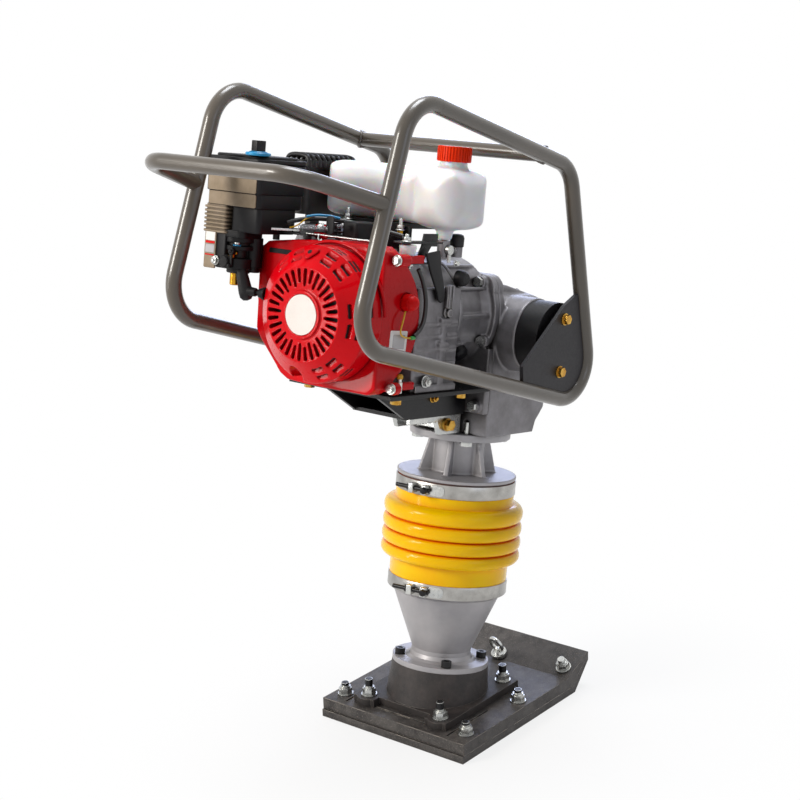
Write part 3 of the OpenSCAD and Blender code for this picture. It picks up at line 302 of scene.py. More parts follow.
# %% [markdown]
# ## Rods
# Wires, hoses, bars and weld beads are round all along, so each is a smooth curve with a round section,
# turned into a mesh. Most of them lie on the leaned machine, so a second helper takes their points in the
# leaned directions.

# %% Rods


def rod(name, points, radius, closed=False, sides=4):
    """A round rod along points in metres."""
    curve = bpy.data.curves.new(name, "CURVE")
    curve.dimensions = "3D"
    curve.bevel_depth = radius
    curve.bevel_resolution = sides
    curve.use_fill_caps = True
    spline = curve.splines.new("NURBS")
    spline.points.add(len(points) - 1)
    for knot, point in zip(spline.points, points):
        knot.co = (*point, 1)
    spline.use_cyclic_u = closed
    spline.use_endpoint_u = not closed
    spline.order_u = 4
    spline.resolution_u = 6
    made = bpy.data.objects.new(name, curve)
    bpy.context.collection.objects.link(made)
    only(made)
    bpy.ops.object.convert(target="MESH")
    bpy.ops.object.shade_smooth_by_angle(angle=math.radians(50))
    return bpy.context.object


def cable(name, points, radius_mm, sides=4):
    """A rod along points given in mm in the leaned directions."""
    return rod(name, [leaned(*point) for point in points], radius_mm * MM, sides=sides)


print("rods ready")

# %% [markdown]
# ## Finishes
# Each finish is built from the same layers: a base colour that drifts slowly from place to place, a finer
# grain that is felt as bumps and seen in the gloss, a colour in the corners that is pale dust on dark
# finishes and painted shade on light ones, and edges that are rounded a little, because no real edge is
# sharp. The sizes are real ones, in millimetres.

# %% Colours
finishes = {}


def linear(hex_colour):
    """An sRGB hex colour as the linear values that a shader works in."""
    parts = [int(hex_colour[i:i + 2], 16) / 255 for i in (1, 3, 5)]
    return (*(p / 12.92 if p <= 0.04045 else ((p + 0.055) / 1.055) ** 2.4 for p in parts), 1)


print("middle grey is", round(linear("#808080")[0], 3), "in linear light")

# %% [markdown]
# ### Tone
# No real surface has one colour all over. The base colour drifts slowly between a light and a dark tone,
# and spots of another colour may lie where the grain is highest.

# %% Tone of a finish


def mixed(tree, tone, colour, share):
    """The tone, with a share of another colour mixed in."""
    return add_node(tree, "Mix", {"data_type": "RGBA", 7: linear(colour)}, {0: share, 6: tone}).outputs[2]


def drifting(tree, light, dark, drift):
    """A tone that goes from the light to the dark colour with the drift's pattern."""
    drift_range = add_node(tree, "MapRange", {"From Min": 0.3, "From Max": 0.7}, {"Value": drift.outputs[0]})
    return add_node(tree, "Mix", {"data_type": "RGBA", 6: linear(light), 7: linear(dark)},
                    {0: drift_range.outputs[0]}).outputs[2]


def spotted(tree, tone, speckle, fine):
    """The tone with spots on the grain's highest points. speckle is their colour and how much they cover."""
    spots = add_node(tree, "MapRange", {"From Min": 0.56, "From Max": 0.70, "To Max": speckle[1]},
                     {"Value": fine.outputs[0]})
    return mixed(tree, tone, speckle[0], spots.outputs[0])


print("tones ready")

# %% [markdown]
# ### Corner dust, painted shade and wear
# The corners, where little open space is in reach, take pale dust on dark finishes and painted shade on
# light ones, so the shader looks how open each point is.
# Paint is rubbed off at the edges. They are found by how far the rounding turns the surface away from its
# true direction.

# %% Corner dust, painted shade and wear of a finish


def dusted_and_shaded_corners(tree, tone, corner_dust_and_shade, reach):
    """The tone with a colour in its corners, pale dust where it is lighter and painted shade where it is darker.
    The second argument is that colour and its share, and reach is in mm.
    """
    hollow = add_node(tree, "AmbientOcclusion", {"samples": 6, "Distance": reach * MM})
    shade = add_node(tree, "MapRange", {"From Min": 0.85, "From Max": 0.35, "To Max": corner_dust_and_shade[1]},
                     {"Value": hollow.outputs["AO"]})
    return mixed(tree, tone, corner_dust_and_shade[0], shade.outputs[0])


def rubbed(tree, tone, worn, rounded, drift):
    """The tone with its rounded edges rubbed off in patches."""
    sharp = add_node(tree, "NewGeometry")
    turned_away = add_node(tree, "VectorMath", {"operation": "DOT_PRODUCT"},
                           {0: rounded.outputs[0], 1: sharp.outputs["Normal"]})
    edges = add_node(tree, "MapRange", {"From Min": 0.995, "From Max": 0.93},
                     {"Value": turned_away.outputs["Value"]})
    patchy = add_node(tree, "MapRange", {"From Min": 0.42, "From Max": 0.6}, {"Value": drift.outputs[0]})
    share = add_node(tree, "Math", {"operation": "MULTIPLY"}, {0: edges.outputs[0], 1: patchy.outputs[0]})
    return mixed(tree, tone, worn, share.outputs[0])


print("dirt and wear ready")

# %% [markdown]
# ### Layers
# One function lays them over each other in the order in which they come on the real thing, and a finish
# leaves out those that it doesn't name. All patterns follow the piece's own coordinates, so they move with
# it.

# %% The layers of a finish


def finish(name, light, dark, patch=60, gloss=(0.3, 0.45), grain=1.0, depth=0.05, stretch=(1, 1, 1),
           metal=0.0, corner_dust_and_shade=None, corner_reach=12, edge=1.0, worn=None, speckle=None, **sockets):
    """A layered finish. patch, grain, edge and the reach of the corner colour are in mm, and so is depth, the
    bumps' height.
    """
    made = bpy.data.materials.new(name)
    made.use_nodes = True
    tree = made.node_tree
    shader = tree.nodes["Principled BSDF"]
    where = add_node(tree, "TexCoord").outputs["Object"]
    stretched = add_node(tree, "Mapping", {"Scale": stretch}, {"Vector": where}).outputs[0]
    drift = add_node(tree, "TexNoise", {"Scale": 1000 / patch, "Detail": 4.0, "Roughness": 0.6},
                     {"Vector": where})
    fine = add_node(tree, "TexNoise", {"Scale": 1000 / grain, "Detail": 3.0, "Roughness": 0.55},
                    {"Vector": stretched})
    rounded = add_node(tree, "Bevel", {"samples": 6, "Radius": edge * MM}) if edge else None
    tone = drifting(tree, light, dark, drift)
    if speckle:
        tone = spotted(tree, tone, speckle, fine)
    # The corner colour is pale dust on dark finishes and painted shade on light ones.
    if corner_dust_and_shade:
        tone = dusted_and_shaded_corners(tree, tone, corner_dust_and_shade, corner_reach)
    if worn:
        tone = rubbed(tree, tone, worn, rounded, drift)
    tree.links.new(tone, shader.inputs["Base Color"])
    gloss_drift = add_node(tree, "MapRange", {"From Min": 0.3, "From Max": 0.7,
                                              "To Min": gloss[0], "To Max": gloss[1]},
                           {"Value": fine.outputs[0]})
    tree.links.new(gloss_drift.outputs[0], shader.inputs["Roughness"])
    bumps = add_node(tree, "Bump", {"Distance": depth * MM, "Strength": 1.0}, {"Height": fine.outputs[0]})
    if rounded:
        tree.links.new(rounded.outputs[0], bumps.inputs["Normal"])
    tree.links.new(bumps.outputs[0], shader.inputs["Normal"])
    shader.inputs["Metallic"].default_value = metal
    for socket, value in sockets.items():
        shader.inputs[socket.replace("_", " ")].default_value = value
    finishes[name] = made


print("a finish is ready to be mixed")

# %% [markdown]
# ### Paints
# The guard is stove enamelled in a warm grey-brown. Enamel over steel tube is smooth, with a clear wet
# gloss and the faint waviness called orange peel, a few millimetres across.

# %% Stove enamels
# In the corners the charcoal and black enamels take pale dust, and the red darkens with painted shade.
finish("taupe_stove_enamel", "#574e43", "#4a4339", patch=180, gloss=(0.3, 0.42), grain=5, depth=0.012,
       edge=0.8, Coat_Weight=0.8, Coat_Roughness=0.2, Coat_IOR=1.5, Specular_IOR_Level=0.3)
finish("charcoal_enamel", "#252327", "#1c1a1e", patch=90, gloss=(0.35, 0.5), grain=3, depth=0.03,
       edge=1.2, corner_dust_and_shade=("#6a6258", 0.3), Specular_IOR_Level=0.3)
finish("red_gloss_enamel", "#d80010", "#c4000c", patch=120, gloss=(0.25, 0.35), grain=6, depth=0.008,
       edge=1.5, corner_dust_and_shade=("#52000a", 0.7), corner_reach=9, Coat_Weight=0.4, Coat_Roughness=0.04, Coat_IOR=1.3,
       Specular_IOR_Level=0.05)
finish("black_bracket_enamel", "#151417", "#0c0b0d", patch=70, gloss=(0.25, 0.45), grain=2, depth=0.04,
       edge=1.2, corner_dust_and_shade=("#332e28", 0.3), Specular_IOR_Level=0.3)
print("paints:", len(finishes))

# %% [markdown]
# ### Shoe and base
# The shoe is a steel plate with thin brown-black paint that soil scours off, so it is rough, with pale
# scratches and rubbed edges. The casting above it keeps the rough skin of its sand mould.

# %% Worn shoe paint and rough casting
# The near-black in the corners of the shoe and the casting is painted shade.
finish("scoured_shoe_paint", "#56524f", "#24201f", patch=26, gloss=(0.36, 0.7), grain=2.0, depth=0.22,
       edge=1.6, corner_dust_and_shade=("#131010", 0.8), corner_reach=16, worn="#b0a79d", speckle=("#8a837d", 0.6),
       Specular_IOR_Level=0.4)
finish("sand_cast_iron", "#3a3331", "#161312", patch=22, gloss=(0.45, 0.72), grain=1.6, depth=0.3,
       edge=1.5, corner_dust_and_shade=("#14110f", 0.7), worn="#6d6660", speckle=("#5b544f", 0.35))
print("finishes so far:", len(finishes))

# %% [markdown]
# ### Bare metals
# The housings are cast aluminium: bright, but with a fine grit from the mould that spreads the reflections,
# and painted shade darkening the corners. Fasteners are zinc plated, some with the yellow passivation that
# shifts towards rainbow.

# %% Castings and plated steel
finish("cast_aluminium", "#8f8d90", "#6f6c6e", patch=38, gloss=(0.36, 0.55), grain=1.1, depth=0.08,
       metal=0.55, edge=1.6, corner_dust_and_shade=("#2b2622", 0.9), corner_reach=22, worn="#c9c6c2",
       Specular_IOR_Level=0.35)
# The cone and the zinc platings are darkened in their corners with painted shade as well.
finish("painted_cone_aluminium", "#b5b2b3", "#9d9b9e", patch=70, gloss=(0.38, 0.55), grain=1.0,
       depth=0.05, metal=0.35, edge=1.6, corner_dust_and_shade=("#57524c", 0.6), corner_reach=14)
finish("bright_zinc_plate", "#cfcfca", "#aeb0b0", patch=18, gloss=(0.2, 0.36), grain=1.2, depth=0.02,
       metal=1.0, edge=0.5, corner_dust_and_shade=("#3d3a35", 0.6), corner_reach=5)
finish("yellow_zinc_plate", "#d9b256", "#a9772c", patch=9, gloss=(0.2, 0.35), grain=1.2, depth=0.02,
       metal=1.0, edge=0.5, corner_dust_and_shade=("#3b2c14", 0.6), corner_reach=5)
finish("stainless_band", "#b4b2ae", "#8f8d89", patch=24, gloss=(0.24, 0.4), grain=1.0, stretch=(1, 1, 14),
       depth=0.02, metal=1.0, edge=0.4)
finish("ground_steel", "#b9babd", "#8f9196", patch=30, gloss=(0.18, 0.3), grain=0.8, depth=0.01,
       metal=1.0, edge=0.4)
finish("hot_muffler_steel", "#3b3735", "#272423", patch=35, gloss=(0.4, 0.6), grain=1.4, depth=0.04,
       metal=0.3, edge=1.2, corner_dust_and_shade=("#3a332c", 0.6))
print("finishes so far:", len(finishes))

# %% [markdown]
# ### Plastics and rubbers
# Moulded plastic takes the texture of its mould, here a fine spark-eroded grain. The tank is natural
# polyethylene, milky, so light goes into it and comes back out, and the bellows are soft yellow
# polyurethane that does the same.

# %% Moulded plastics and rubbers
# In the corners the black plastic and rubber take pale dust, and the orange plastic and the brass darken with
# painted shade.
finish("moulded_black_plastic", "#121114", "#0a090c", patch=60, gloss=(0.36, 0.5), grain=0.9, depth=0.05,
       edge=1.2, corner_dust_and_shade=("#2a2520", 0.3), Specular_IOR_Level=0.22)
# The air cleaner's black plastic, with the warm lamp's tan sheen painted into its colour and painted shade in its
# corners.
finish("black_plastic_painted_tan_sheen", "#a08f7b", "#85755f", patch=35, gloss=(0.45, 0.6), grain=0.9, depth=0.06,
       edge=1.2, corner_dust_and_shade=("#2a241e", 0.7), corner_reach=8, Specular_IOR_Level=0.25)
finish("natural_polyethylene", "#f6f6f6", "#ebecef", patch=50, gloss=(0.3, 0.4), grain=2.4, depth=0.05,
       edge=2.0, Subsurface_Weight=0.7, Subsurface_Scale=0.02)
finish("orange_polypropylene", "#ff3c00", "#f23000", patch=30, gloss=(0.3, 0.4), grain=1.0, depth=0.02,
       edge=0.8, corner_dust_and_shade=("#a82000", 0.5), corner_reach=4, Specular_IOR_Level=0.15)
finish("blue_polypropylene", "#1d9fd6", "#1384bb", patch=20, gloss=(0.25, 0.35), grain=1.0, depth=0.02,
       edge=0.8)
# The orange in the bellows' folds is painted shade.
finish("yellow_polyurethane", "#ffd200", "#ffc000", patch=80, gloss=(0.15, 0.26), grain=6, depth=0.08,
       edge=0, corner_dust_and_shade=("#e05a00", 1.0), corner_reach=14, Specular_IOR_Level=0.1, Coat_Weight=0.3,
       Coat_Roughness=0.06, Coat_IOR=1.3)
finish("red_soft_rubber", "#e01010", "#cc0a0c", patch=20, gloss=(0.35, 0.5), grain=1.0, depth=0.03,
       edge=0.8, Specular_IOR_Level=0.15)
finish("black_moulded_rubber", "#141315", "#0c0b0d", patch=50, gloss=(0.4, 0.6), grain=1.4, depth=0.06,
       edge=1.5, corner_dust_and_shade=("#332e28", 0.3), Specular_IOR_Level=0.3)
finish("bare_badge_plastic", "#ece4df", "#e2d9d3", patch=40, gloss=(0.25, 0.35), grain=1.2, depth=0.008,
       edge=0.5)
finish("black_wire_pvc", "#1a1a1b", "#101010", patch=20, gloss=(0.25, 0.4), grain=1.0, depth=0.01, edge=0)
finish("green_sleeve_pvc", "#2fae4a", "#239a3c", patch=20, gloss=(0.3, 0.4), grain=1.0, depth=0.01,
       edge=0)
finish("brass", "#d8a63a", "#b98020", patch=12, gloss=(0.22, 0.35), grain=1.0, depth=0.02, metal=1.0,
       edge=0.5, corner_dust_and_shade=("#3b2c14", 0.6), corner_reach=5)
finish("label_film", "#f4f2ef", "#eceae6", patch=20, gloss=(0.3, 0.4), grain=1.0, depth=0.005, edge=0,
       Specular_IOR_Level=0.3)
finish("yellow_wire_pvc", "#e8b818", "#d9a60c", patch=20, gloss=(0.25, 0.4), grain=1.0, depth=0.01,
       edge=0)
print("all finishes:", ", ".join(finishes))

# %% [markdown]
# ## Dressing the engineering model
# Every node that keeps its shape gets its finish now. The record names a material slot for each node, and
# one table says which finish belongs to each slot.

# %% Finishes on the nodes
slot_finish = {
    "cast_iron_dark": "sand_cast_iron", "shoe_steel": "scoured_shoe_paint", "zinc": "bright_zinc_plate",
    "yellow_zinc": "yellow_zinc_plate", "black_steel": "black_bracket_enamel",
    "cast_aluminium": "cast_aluminium", "spring_steel": "ground_steel", "stainless": "stainless_band",
    "polyurethane": "yellow_polyurethane", "red_paint": "red_gloss_enamel", "badge": "bare_badge_plastic",
    "black_plastic": "moulded_black_plastic", "white_plastic": "natural_polyethylene",
    "orange_plastic": "orange_polypropylene", "blue_plastic": "blue_polypropylene",
    "red_rubber": "red_soft_rubber", "black_rubber": "black_moulded_rubber",
    "guard_paint": "taupe_stove_enamel", "gusset_paint": "charcoal_enamel",
    "heat_steel": "hot_muffler_steel", "wire_pvc": "black_wire_pvc",
}
own_finish = {"foot_cone": "painted_cone_aluminium", "guide_cylinder": "painted_cone_aluminium",
              "cock_lever": "bright_zinc_plate", "cone_bolts": "black_bracket_enamel"}
node_slot = {s["node"]: s["material_slot"] for s in frame["record"]["subparts"]}
for name, node in nodes.items():
    chosen = finishes[own_finish.get(name, slot_finish[node_slot[name]])]
    node.data.materials.clear()
    node.data.materials.append(chosen)
print(len(nodes), "nodes dressed")


def add_piece(made, finish_name, body):
    """Gives a new piece its finish and the body it moves with."""
    made.data.materials.clear()
    made.data.materials.append(finishes[finish_name])
    if body:
        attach(made, body)
    return made


print("new pieces can be added")

# %% [markdown]
# ## Castings
# A casting or a moulding has no sharp edges, because metal and plastic can't fill a sharp corner of the
# mould, and the pattern maker rounds every inner corner as well. Each of these pieces is a copy of its
# engineering node, turned upright so that its faces lie along the grid, rebuilt from small cubes, smoothed
# until its edges are round, and thinned again. That rounds outer and inner edges alike, which a bevel can't
# do where many shapes meet.

# %% Copies that can be edited


def merged_copy(node_name, name, turn=Matrix.Identity(4)):
    """A copy of a node, turned, with the doubles of its loose triangles merged."""
    deselect_everything()
    copy = bpy.data.objects.new(name, nodes[node_name].data.copy())
    bpy.context.collection.objects.link(copy)
    copy.data.transform(turn)
    only(copy)
    bpy.ops.object.mode_set(mode="EDIT")
    bpy.ops.mesh.select_all(action="SELECT")
    bpy.ops.mesh.remove_doubles(threshold=1e-6)
    bpy.ops.object.mode_set(mode="OBJECT")
    return copy


def cut_away(made, corners):
    """Cuts a box off a piece. The box's low and high corners are in mm."""
    deselect_everything()
    bpy.ops.mesh.primitive_cube_add(size=1)
    knife = bpy.context.object
    low, high = (Vector(corner) * MM for corner in corners)
    knife.data.transform(Matrix.Translation((low + high) / 2) @ Matrix.Diagonal((*(high - low), 1)))
    finish_with(made, "BOOLEAN", object=knife, operation="DIFFERENCE", solver="EXACT")
    bpy.data.objects.remove(knife)


print("copies ready")

# %% [markdown]
# ### Rounding them
# The grid is finer than the thinnest wall, or a wall would break up. More rounds of smoothing suit the
# blow-moulded tank, and few suit the machined seats. The fan cover's two bolt ears are pressed from sheet,
# so they end just behind their bolts, and what the engineering model has beyond that is cut off first.

# %% Softened copies


def softened(node_name, grain_mm, rounds, keep, cut=None):
    """A copy of a node with rounded edges. More rounds are softer, and keep is the share of faces kept."""
    copy = merged_copy(node_name, node_name + "_soft", LEANED.inverted())
    if cut:
        cut_away(copy, cut)
    finish_with(copy, "REMESH", mode="VOXEL", voxel_size=grain_mm * MM, adaptivity=0)
    finish_with(copy, "SMOOTH", factor=0.5, iterations=rounds)
    finish_with(copy, "DECIMATE", ratio=keep)
    bpy.ops.object.shade_smooth_by_angle(angle=math.radians(50))
    return settle(copy, node_name + "_soft", LEANED)


behind_the_ears = ((-296, -140, 520), (-200, -92.8, 780))
for name, grain_mm, rounds, keep in (
        ("fan_cover", 1.6, 9, 0.3), ("starter_housing", 1.0, 3, 0.45), ("gear_case", 1.8, 5, 0.3),
        ("clutch_housing", 1.5, 4, 0.35), ("engine_block", 1.8, 4, 0.3), ("fuel_tank", 2.2, 26, 0.35),
        ("guide_cylinder", 1.4, 3, 0.35), ("mount_block", 1.2, 2, 0.3)):
    soft = softened(name, grain_mm, rounds, keep, cut=behind_the_ears if name == "fan_cover" else None)
    finish_name = own_finish.get(name, slot_finish[node_slot[name]])
    add_piece(soft, finish_name, "machine")
    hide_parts(name)
    print(soft.name, len(soft.data.polygons), "faces")

# %% [markdown]
# ## Bellows
# The bellows keep dirt off the leg. They are moulded with four round folds and slip over a seat at each
# end. The section is drawn once, out along the outside and back along the inside, and turned on the lathe.
# The lower end stays with the foot and the upper end goes with the machine, but the piece is left on
# neither body.

# %% Bellows
seat_low, seat_high = 229.5, 364.0
seat_radius, fold_radius, wall = 92.4, 109.0, 3.0
fold_edges = [257, 279, 301, 323, 350]
valley = 7.5
roundness = 0.42


def fold_line(offset):
    """The bellows' outline, (radius, height) in mm, moved inwards by the offset."""
    line = [(seat_radius - offset, seat_low - 20), (seat_radius - offset, fold_edges[0] - 4)]
    for low, high in zip(fold_edges, fold_edges[1:]):
        middle, half = (low + high) / 2, (high - low) / 2
        for step in range(-6, 7):
            share = step / 6
            bulge = (1 - share ** 2) ** roundness if abs(share) < 1 else 0
            outer_end = (low == fold_edges[0] and share < 0) or (high == fold_edges[-1] and share > 0)
            depth = fold_radius - seat_radius - 1 if outer_end else valley
            line.append((fold_radius - offset - depth * (1 - bulge), middle + half * share * 0.98))
    line += [(seat_radius - offset, fold_edges[-1] + 4), (seat_radius - offset, seat_high + 22)]
    return line


bellows = turned("bellows_skin", fold_line(0) + fold_line(wall)[::-1], LEANED, steps=128, smooth=60)
add_piece(bellows, "yellow_polyurethane", None)
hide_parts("bellows")
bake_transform(bellows)
print("bellows:", len(bellows.data.polygons), "faces")

# %% [markdown]
# ### Stroke springs
# Inside the leg the ram hangs between two coil springs. Each has one end on the foot and the other end on
# the ram, so it squeezes on one half of the stroke and stretches back on the other half. Nothing outside
# shows them.

# %% Stroke springs
for name, foot_end_is_low in (("lower_spring", True), ("upper_spring", False)):
    coil = merged_copy(name, name + "_coil")
    bpy.ops.object.shade_smooth_by_angle(angle=math.radians(40))
    add_piece(coil, "ground_steel", None)
    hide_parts(name)
    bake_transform(coil)

# %% [markdown]
# ## Placing the small pieces
# The small pieces all sit on the leaned machine, so each is modelled upright at the origin and then stood
# in its place: a point in the leaned directions, and the side of the machine that its own Z looks at.

# %% Stand
LOOKS = {"up": (0, "X"), "down": (180, "X"), "right": (90, "X"), "left": (-90, "X"), "rear": (-90, "Y"),
         "front": (90, "Y")}


def moved(place, x=0, y=0, z=0):
    """The place shifted by millimetres along its own axes."""
    return place @ Matrix.Translation(Vector((x, y, z)) * MM)


def tipped(place, degrees, axis):
    """The place turned about one of its own axes."""
    return place @ Matrix.Rotation(math.radians(degrees), 4, axis)


def stand(forward, left, up, side="up", turn=0):
    """The place at a leaned point in mm. Its Z looks at one side of the machine, and turn is about that Z."""
    angle, axis = LOOKS[side]
    place = moved(LEANED, forward, left, up)
    return tipped(tipped(place, angle, axis), turn, "Z")


print("pieces can stand and look", ", ".join(LOOKS))

# %% [markdown]
# ### Outlines
# Two outlines come back again and again: a rectangle with round corners, as sheet and mouldings have, and a
# hexagon.

# %% Outlines


def rounded_box(width, depth, radius, steps=5):
    """The outline of a rectangle with round corners, centred, in mm."""
    points = []
    for quarter, (x, y) in enumerate(((1, 1), (-1, 1), (-1, -1), (1, -1))):
        for step in range(steps + 1):
            angle = math.radians(90 * quarter + 90 * step / steps)
            points.append((x * (width / 2 - radius) + radius * math.cos(angle),
                           y * (depth / 2 - radius) + radius * math.sin(angle)))
    return points


def hexagon(across):
    """The outline of a hexagon with this size across its flats, in mm."""
    corner = across / math.sqrt(3)
    turns = [math.radians(60 * i) for i in range(6)]
    return [(corner * math.cos(turn), corner * math.sin(turn)) for turn in turns]


print("a box has", len(rounded_box(10, 10, 2)), "corners and a hexagon", len(hexagon(10)))

# %% [markdown]
# ### Screws and stacks
# A screw is a turned washer under a hexagon head, and a nut shows the end of its stud as well. Many small
# parts are round layers on one axis, which one turned section makes with all of its rims rounded.

# %% Screws and stacks


def joined(name, parts):
    """Several pieces of one finish made into a single object."""
    deselect_everything()
    for part in parts:
        part.select_set(True)
    bpy.context.view_layer.objects.active = parts[0]
    bpy.ops.object.join()
    made = bpy.context.object
    made.name = made.data.name = name
    return made


def hex_screw(name, place, across, height, washer, stud=0.0):
    """A hexagon head on its washer, with the end of a stud standing out of it if it is a nut."""
    rim = [(0, 0), (washer, 0), (washer, 1.0), (washer - 0.6, 1.5), (0, 1.5)]
    parts = [turned(name, rim, place, steps=32),
             plate(name + "_head", hexagon(across), height, moved(place, z=1.5), 0.5)]
    if stud:
        top = 1.5 + height
        wide, narrow = across * 0.28, across * 0.22
        section = [(0, top - 0.2), (wide, top - 0.2), (wide, top + stud - 0.6), (narrow, top + stud),
                   (0, top + stud)]
        parts.append(turned(name + "_stud", section, place, steps=24))
    return joined(name, parts)


def disc_stack(name, place, layers, edge=0.8, steps=48):
    """Round layers on one axis, each (radius, height from, height to) in mm. The edge rounds their rims."""
    section = [(0, layers[0][1])]
    for radius, low, high in layers:
        section += [(radius - edge, low), (radius, low + edge), (radius, high - edge), (radius - edge, high)]
    section.append((0, layers[-1][2]))
    return turned(name, section, place, steps=steps)


print("screws and stacks ready")

# %% [markdown]
# ### Zinc-plated screws
# Most screws and nuts of the machine are zinc plated, bright or yellow, so one helper gives a screw its
# finish too.

# %% Zinc-plated screws


def zinc_screw(name, place, across, height, washer, stud=0.0, colour="bright"):
    """A hexagon screw or nut on the machine, plated in bright or yellow zinc."""
    made = hex_screw(name, place, across, height, washer, stud)
    return add_piece(made, colour + "_zinc_plate", "machine")


print("zinc-plated screws ready")

# %% [markdown]
# ## Behind the starter's slots
# The recoil pulley turns behind the slots. Through them one sees only its dark face, so the slots look
# black.

# %% Recoil pulley
pulley_section = [(9, 38), (56, 40), (60, 38), (60, 2), (57, 2), (57, 35), (9, 34)]
pulley = turned("recoil_pulley", pulley_section, stand(-338, 0, 650, "rear"))
add_piece(pulley, "black_moulded_rubber", "machine")
print("pulley:", len(pulley.data.polygons), "faces")

# %% [markdown]
# ### Vents in the drum
# The fan draws its air through rows of narrow vents in the drum's slope. What lies behind them is in deep
# shade, so a black plate that fills the inside of each vent paints that shade.

# %% Painted shade inside the drum's vents
vent_bottom, vent_tops = 60, (75.5, 85.5, 94.5, 94.5)
vent_pitch, first_vent = 8, -380.75
vent_shade_plates = []
for group in (50, 70, 110, 130, 170, 190, 230, 250):
    around = tipped(stand(0, 0, 650), group, "X")
    for row, top in enumerate(vent_tops):
        spot = moved(around, vent_pitch * row + first_vent, (vent_bottom + top) / 2, -9.8)
        vent_shade_plates.append(plate("vent_painted_shade", rounded_box(4.3, top - vent_bottom, 0.3, 1), 19.6, spot))
vent_painted_shade = joined("vent_painted_shade", vent_shade_plates)
add_piece(vent_painted_shade, "black_moulded_rubber", "machine")
print(len(vent_shade_plates), "vents lined")

# %% [markdown]
# ## Labels
# The labels are blank films: a white one with a plain grey panel on the side of the fan cover, and a black
# strip on its rear. A printed film is a fifth of a millimetre thick, and its corners are cut round so that
# they don't lift.

# %% Labels
white_label = plate("side_label", rounded_box(38, 31, 2), 0.25, stand(-292, -92.05, 621, "right", -3))
add_piece(white_label, "label_film", "machine")
grey_panel = plate("side_label_panel", rounded_box(26, 20, 1), 0.1, stand(-291, -92.3, 621, "right", -3))
add_piece(grey_panel, "painted_cone_aluminium", "machine")
black_label = plate("rear_label", rounded_box(7, 42, 1), 0.25, stand(-335.05, 100, 727, "rear"))
add_piece(black_label, "moulded_black_plastic", "machine")
print("labels:", white_label.name, grey_panel.name, black_label.name)

# %% [markdown]
# ## Stop switch leads
# The yellow lead leaves the red button, hangs in a loop against the cover and meets a green crimped sleeve.
# From there a thicker black lead runs up in front of the cover to the bracket under the tank.

# %% Leads
yellow_path = [(-289, -98, 664), (-294, -101, 656), (-298, -101, 645), (-298, -99, 634), (-290, -97, 629),
               (-277, -96, 626), (-268, -96, 626)]
black_path = [(-262, -96, 628), (-250, -95.5, 634), (-242, -95, 645), (-239, -95, 660), (-240, -95, 680),
              (-246, -95, 696), (-254, -95.5, 710), (-262, -94, 722)]
yellow_lead = cable("yellow_lead", yellow_path, 1.3)
add_piece(yellow_lead, "yellow_wire_pvc", "machine")
black_lead = cable("black_lead", black_path, 3.2)
add_piece(black_lead, "black_wire_pvc", "machine")
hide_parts("stop_wires")
sleeve = disc_stack("crimp_sleeve", stand(-270, -96, 626, "front"), [(2.6, 0, 10)], 0.8, 20)
add_piece(sleeve, "green_sleeve_pvc", "machine")
print("leads along", len(yellow_path), "and", len(black_path), "points")

# %% [markdown]
# ## Rubber strap and pad
# The tank shakes less when it stands on rubber. A cream pad is screwed up from below at the side of the
# cover, and a black strap holds the leads and the hose against the crankcase.

# %% Strap and pad
strap_outline = [(-246, 744), (-231, 716), (-213, 688), (-209, 678), (-203, 673), (-197, 675), (-195, 682),
                 (-199, 700), (-208, 722), (-214, 748)]
strap = plate("rubber_strap", strap_outline, 4, stand(0, -90, 0, "right"), 1.2)
add_piece(strap, "black_moulded_rubber", "machine")
pad_section = [(0, 0), (9.4, 0), (10.2, 1), (12.4, 20), (11.6, 22), (0, 22)]
side_pad = turned("side_pad", pad_section, stand(-273, -81, 733))
add_piece(side_pad, "natural_polyethylene", "machine")
zinc_screw("pad_screw", stand(-270, -84, 731, "down"), 9, 5, 6, 3)
print("strap", strap.data.name, "and pad", side_pad.data.name)

# %% [markdown]
# ### Arm over the pad
# The pad carries an arm of folded black sheet. It is three plates here: the foot on the pad, the web that
# climbs beside it and the flange under the tank. Their bevels show the fold's round corners.

# %% Arm
web_outline = [(-250, 728), (-232, 728), (-214, 752), (-200, 752), (-200, 770), (-232, 770), (-236, 752)]
pad_arm = joined("pad_arm", [
    plate("arm_low", rounded_box(50, 24, 3), 3, stand(-252, -80, 728.5), 0.6),
    plate("arm_web", web_outline, 3, stand(0, -74, 0, "right"), 0.6),
    plate("arm_top", rounded_box(92, 20, 3), 3, stand(-246, -78, 756.5), 0.6)])
add_piece(pad_arm, "black_bracket_enamel", "machine")
zinc_screw("arm_bolt", stand(-281, -84, 759.5), 10, 5, 7, 4)
print("arm:", len(pad_arm.data.polygons), "faces")

# %% [markdown]
# ### Studs and hose boot under the tank
# Two studs hold the tank at a distance from its bracket, each on a brass spacer. A rubber boot beside them
# takes the end of a hose.

# %% Tank studs and hose boot
for number, (left, up) in enumerate(((88, 776), (-12, 769))):
    zinc_screw(f"tank_stud_{number}", stand(-206, left, up), 10, 6, 7, 9)
    spacer = disc_stack(f"tank_spacer_{number}", stand(-206, left, up - 9), [(4.6, 0, 9)], 0.6, 24)
    add_piece(spacer, "brass", "machine")
boot_section = [(0, 0), (9.6, 0), (10.4, 1), (10.6, 13), (9, 17), (6, 18.5), (0, 19)]
hose_boot = turned("hose_boot", boot_section, stand(-128, -57, 750))
add_piece(hose_boot, "black_moulded_rubber", "machine")
print(number + 1, "studs on spacers")

# %% [markdown]
# ## Small things on the crankcase
# A rubber plug closes an opening, and a cast boss has a slot between its two ribs. They break up the plain
# castings. The plug is a lathe piece, and the boss is joined from plates.

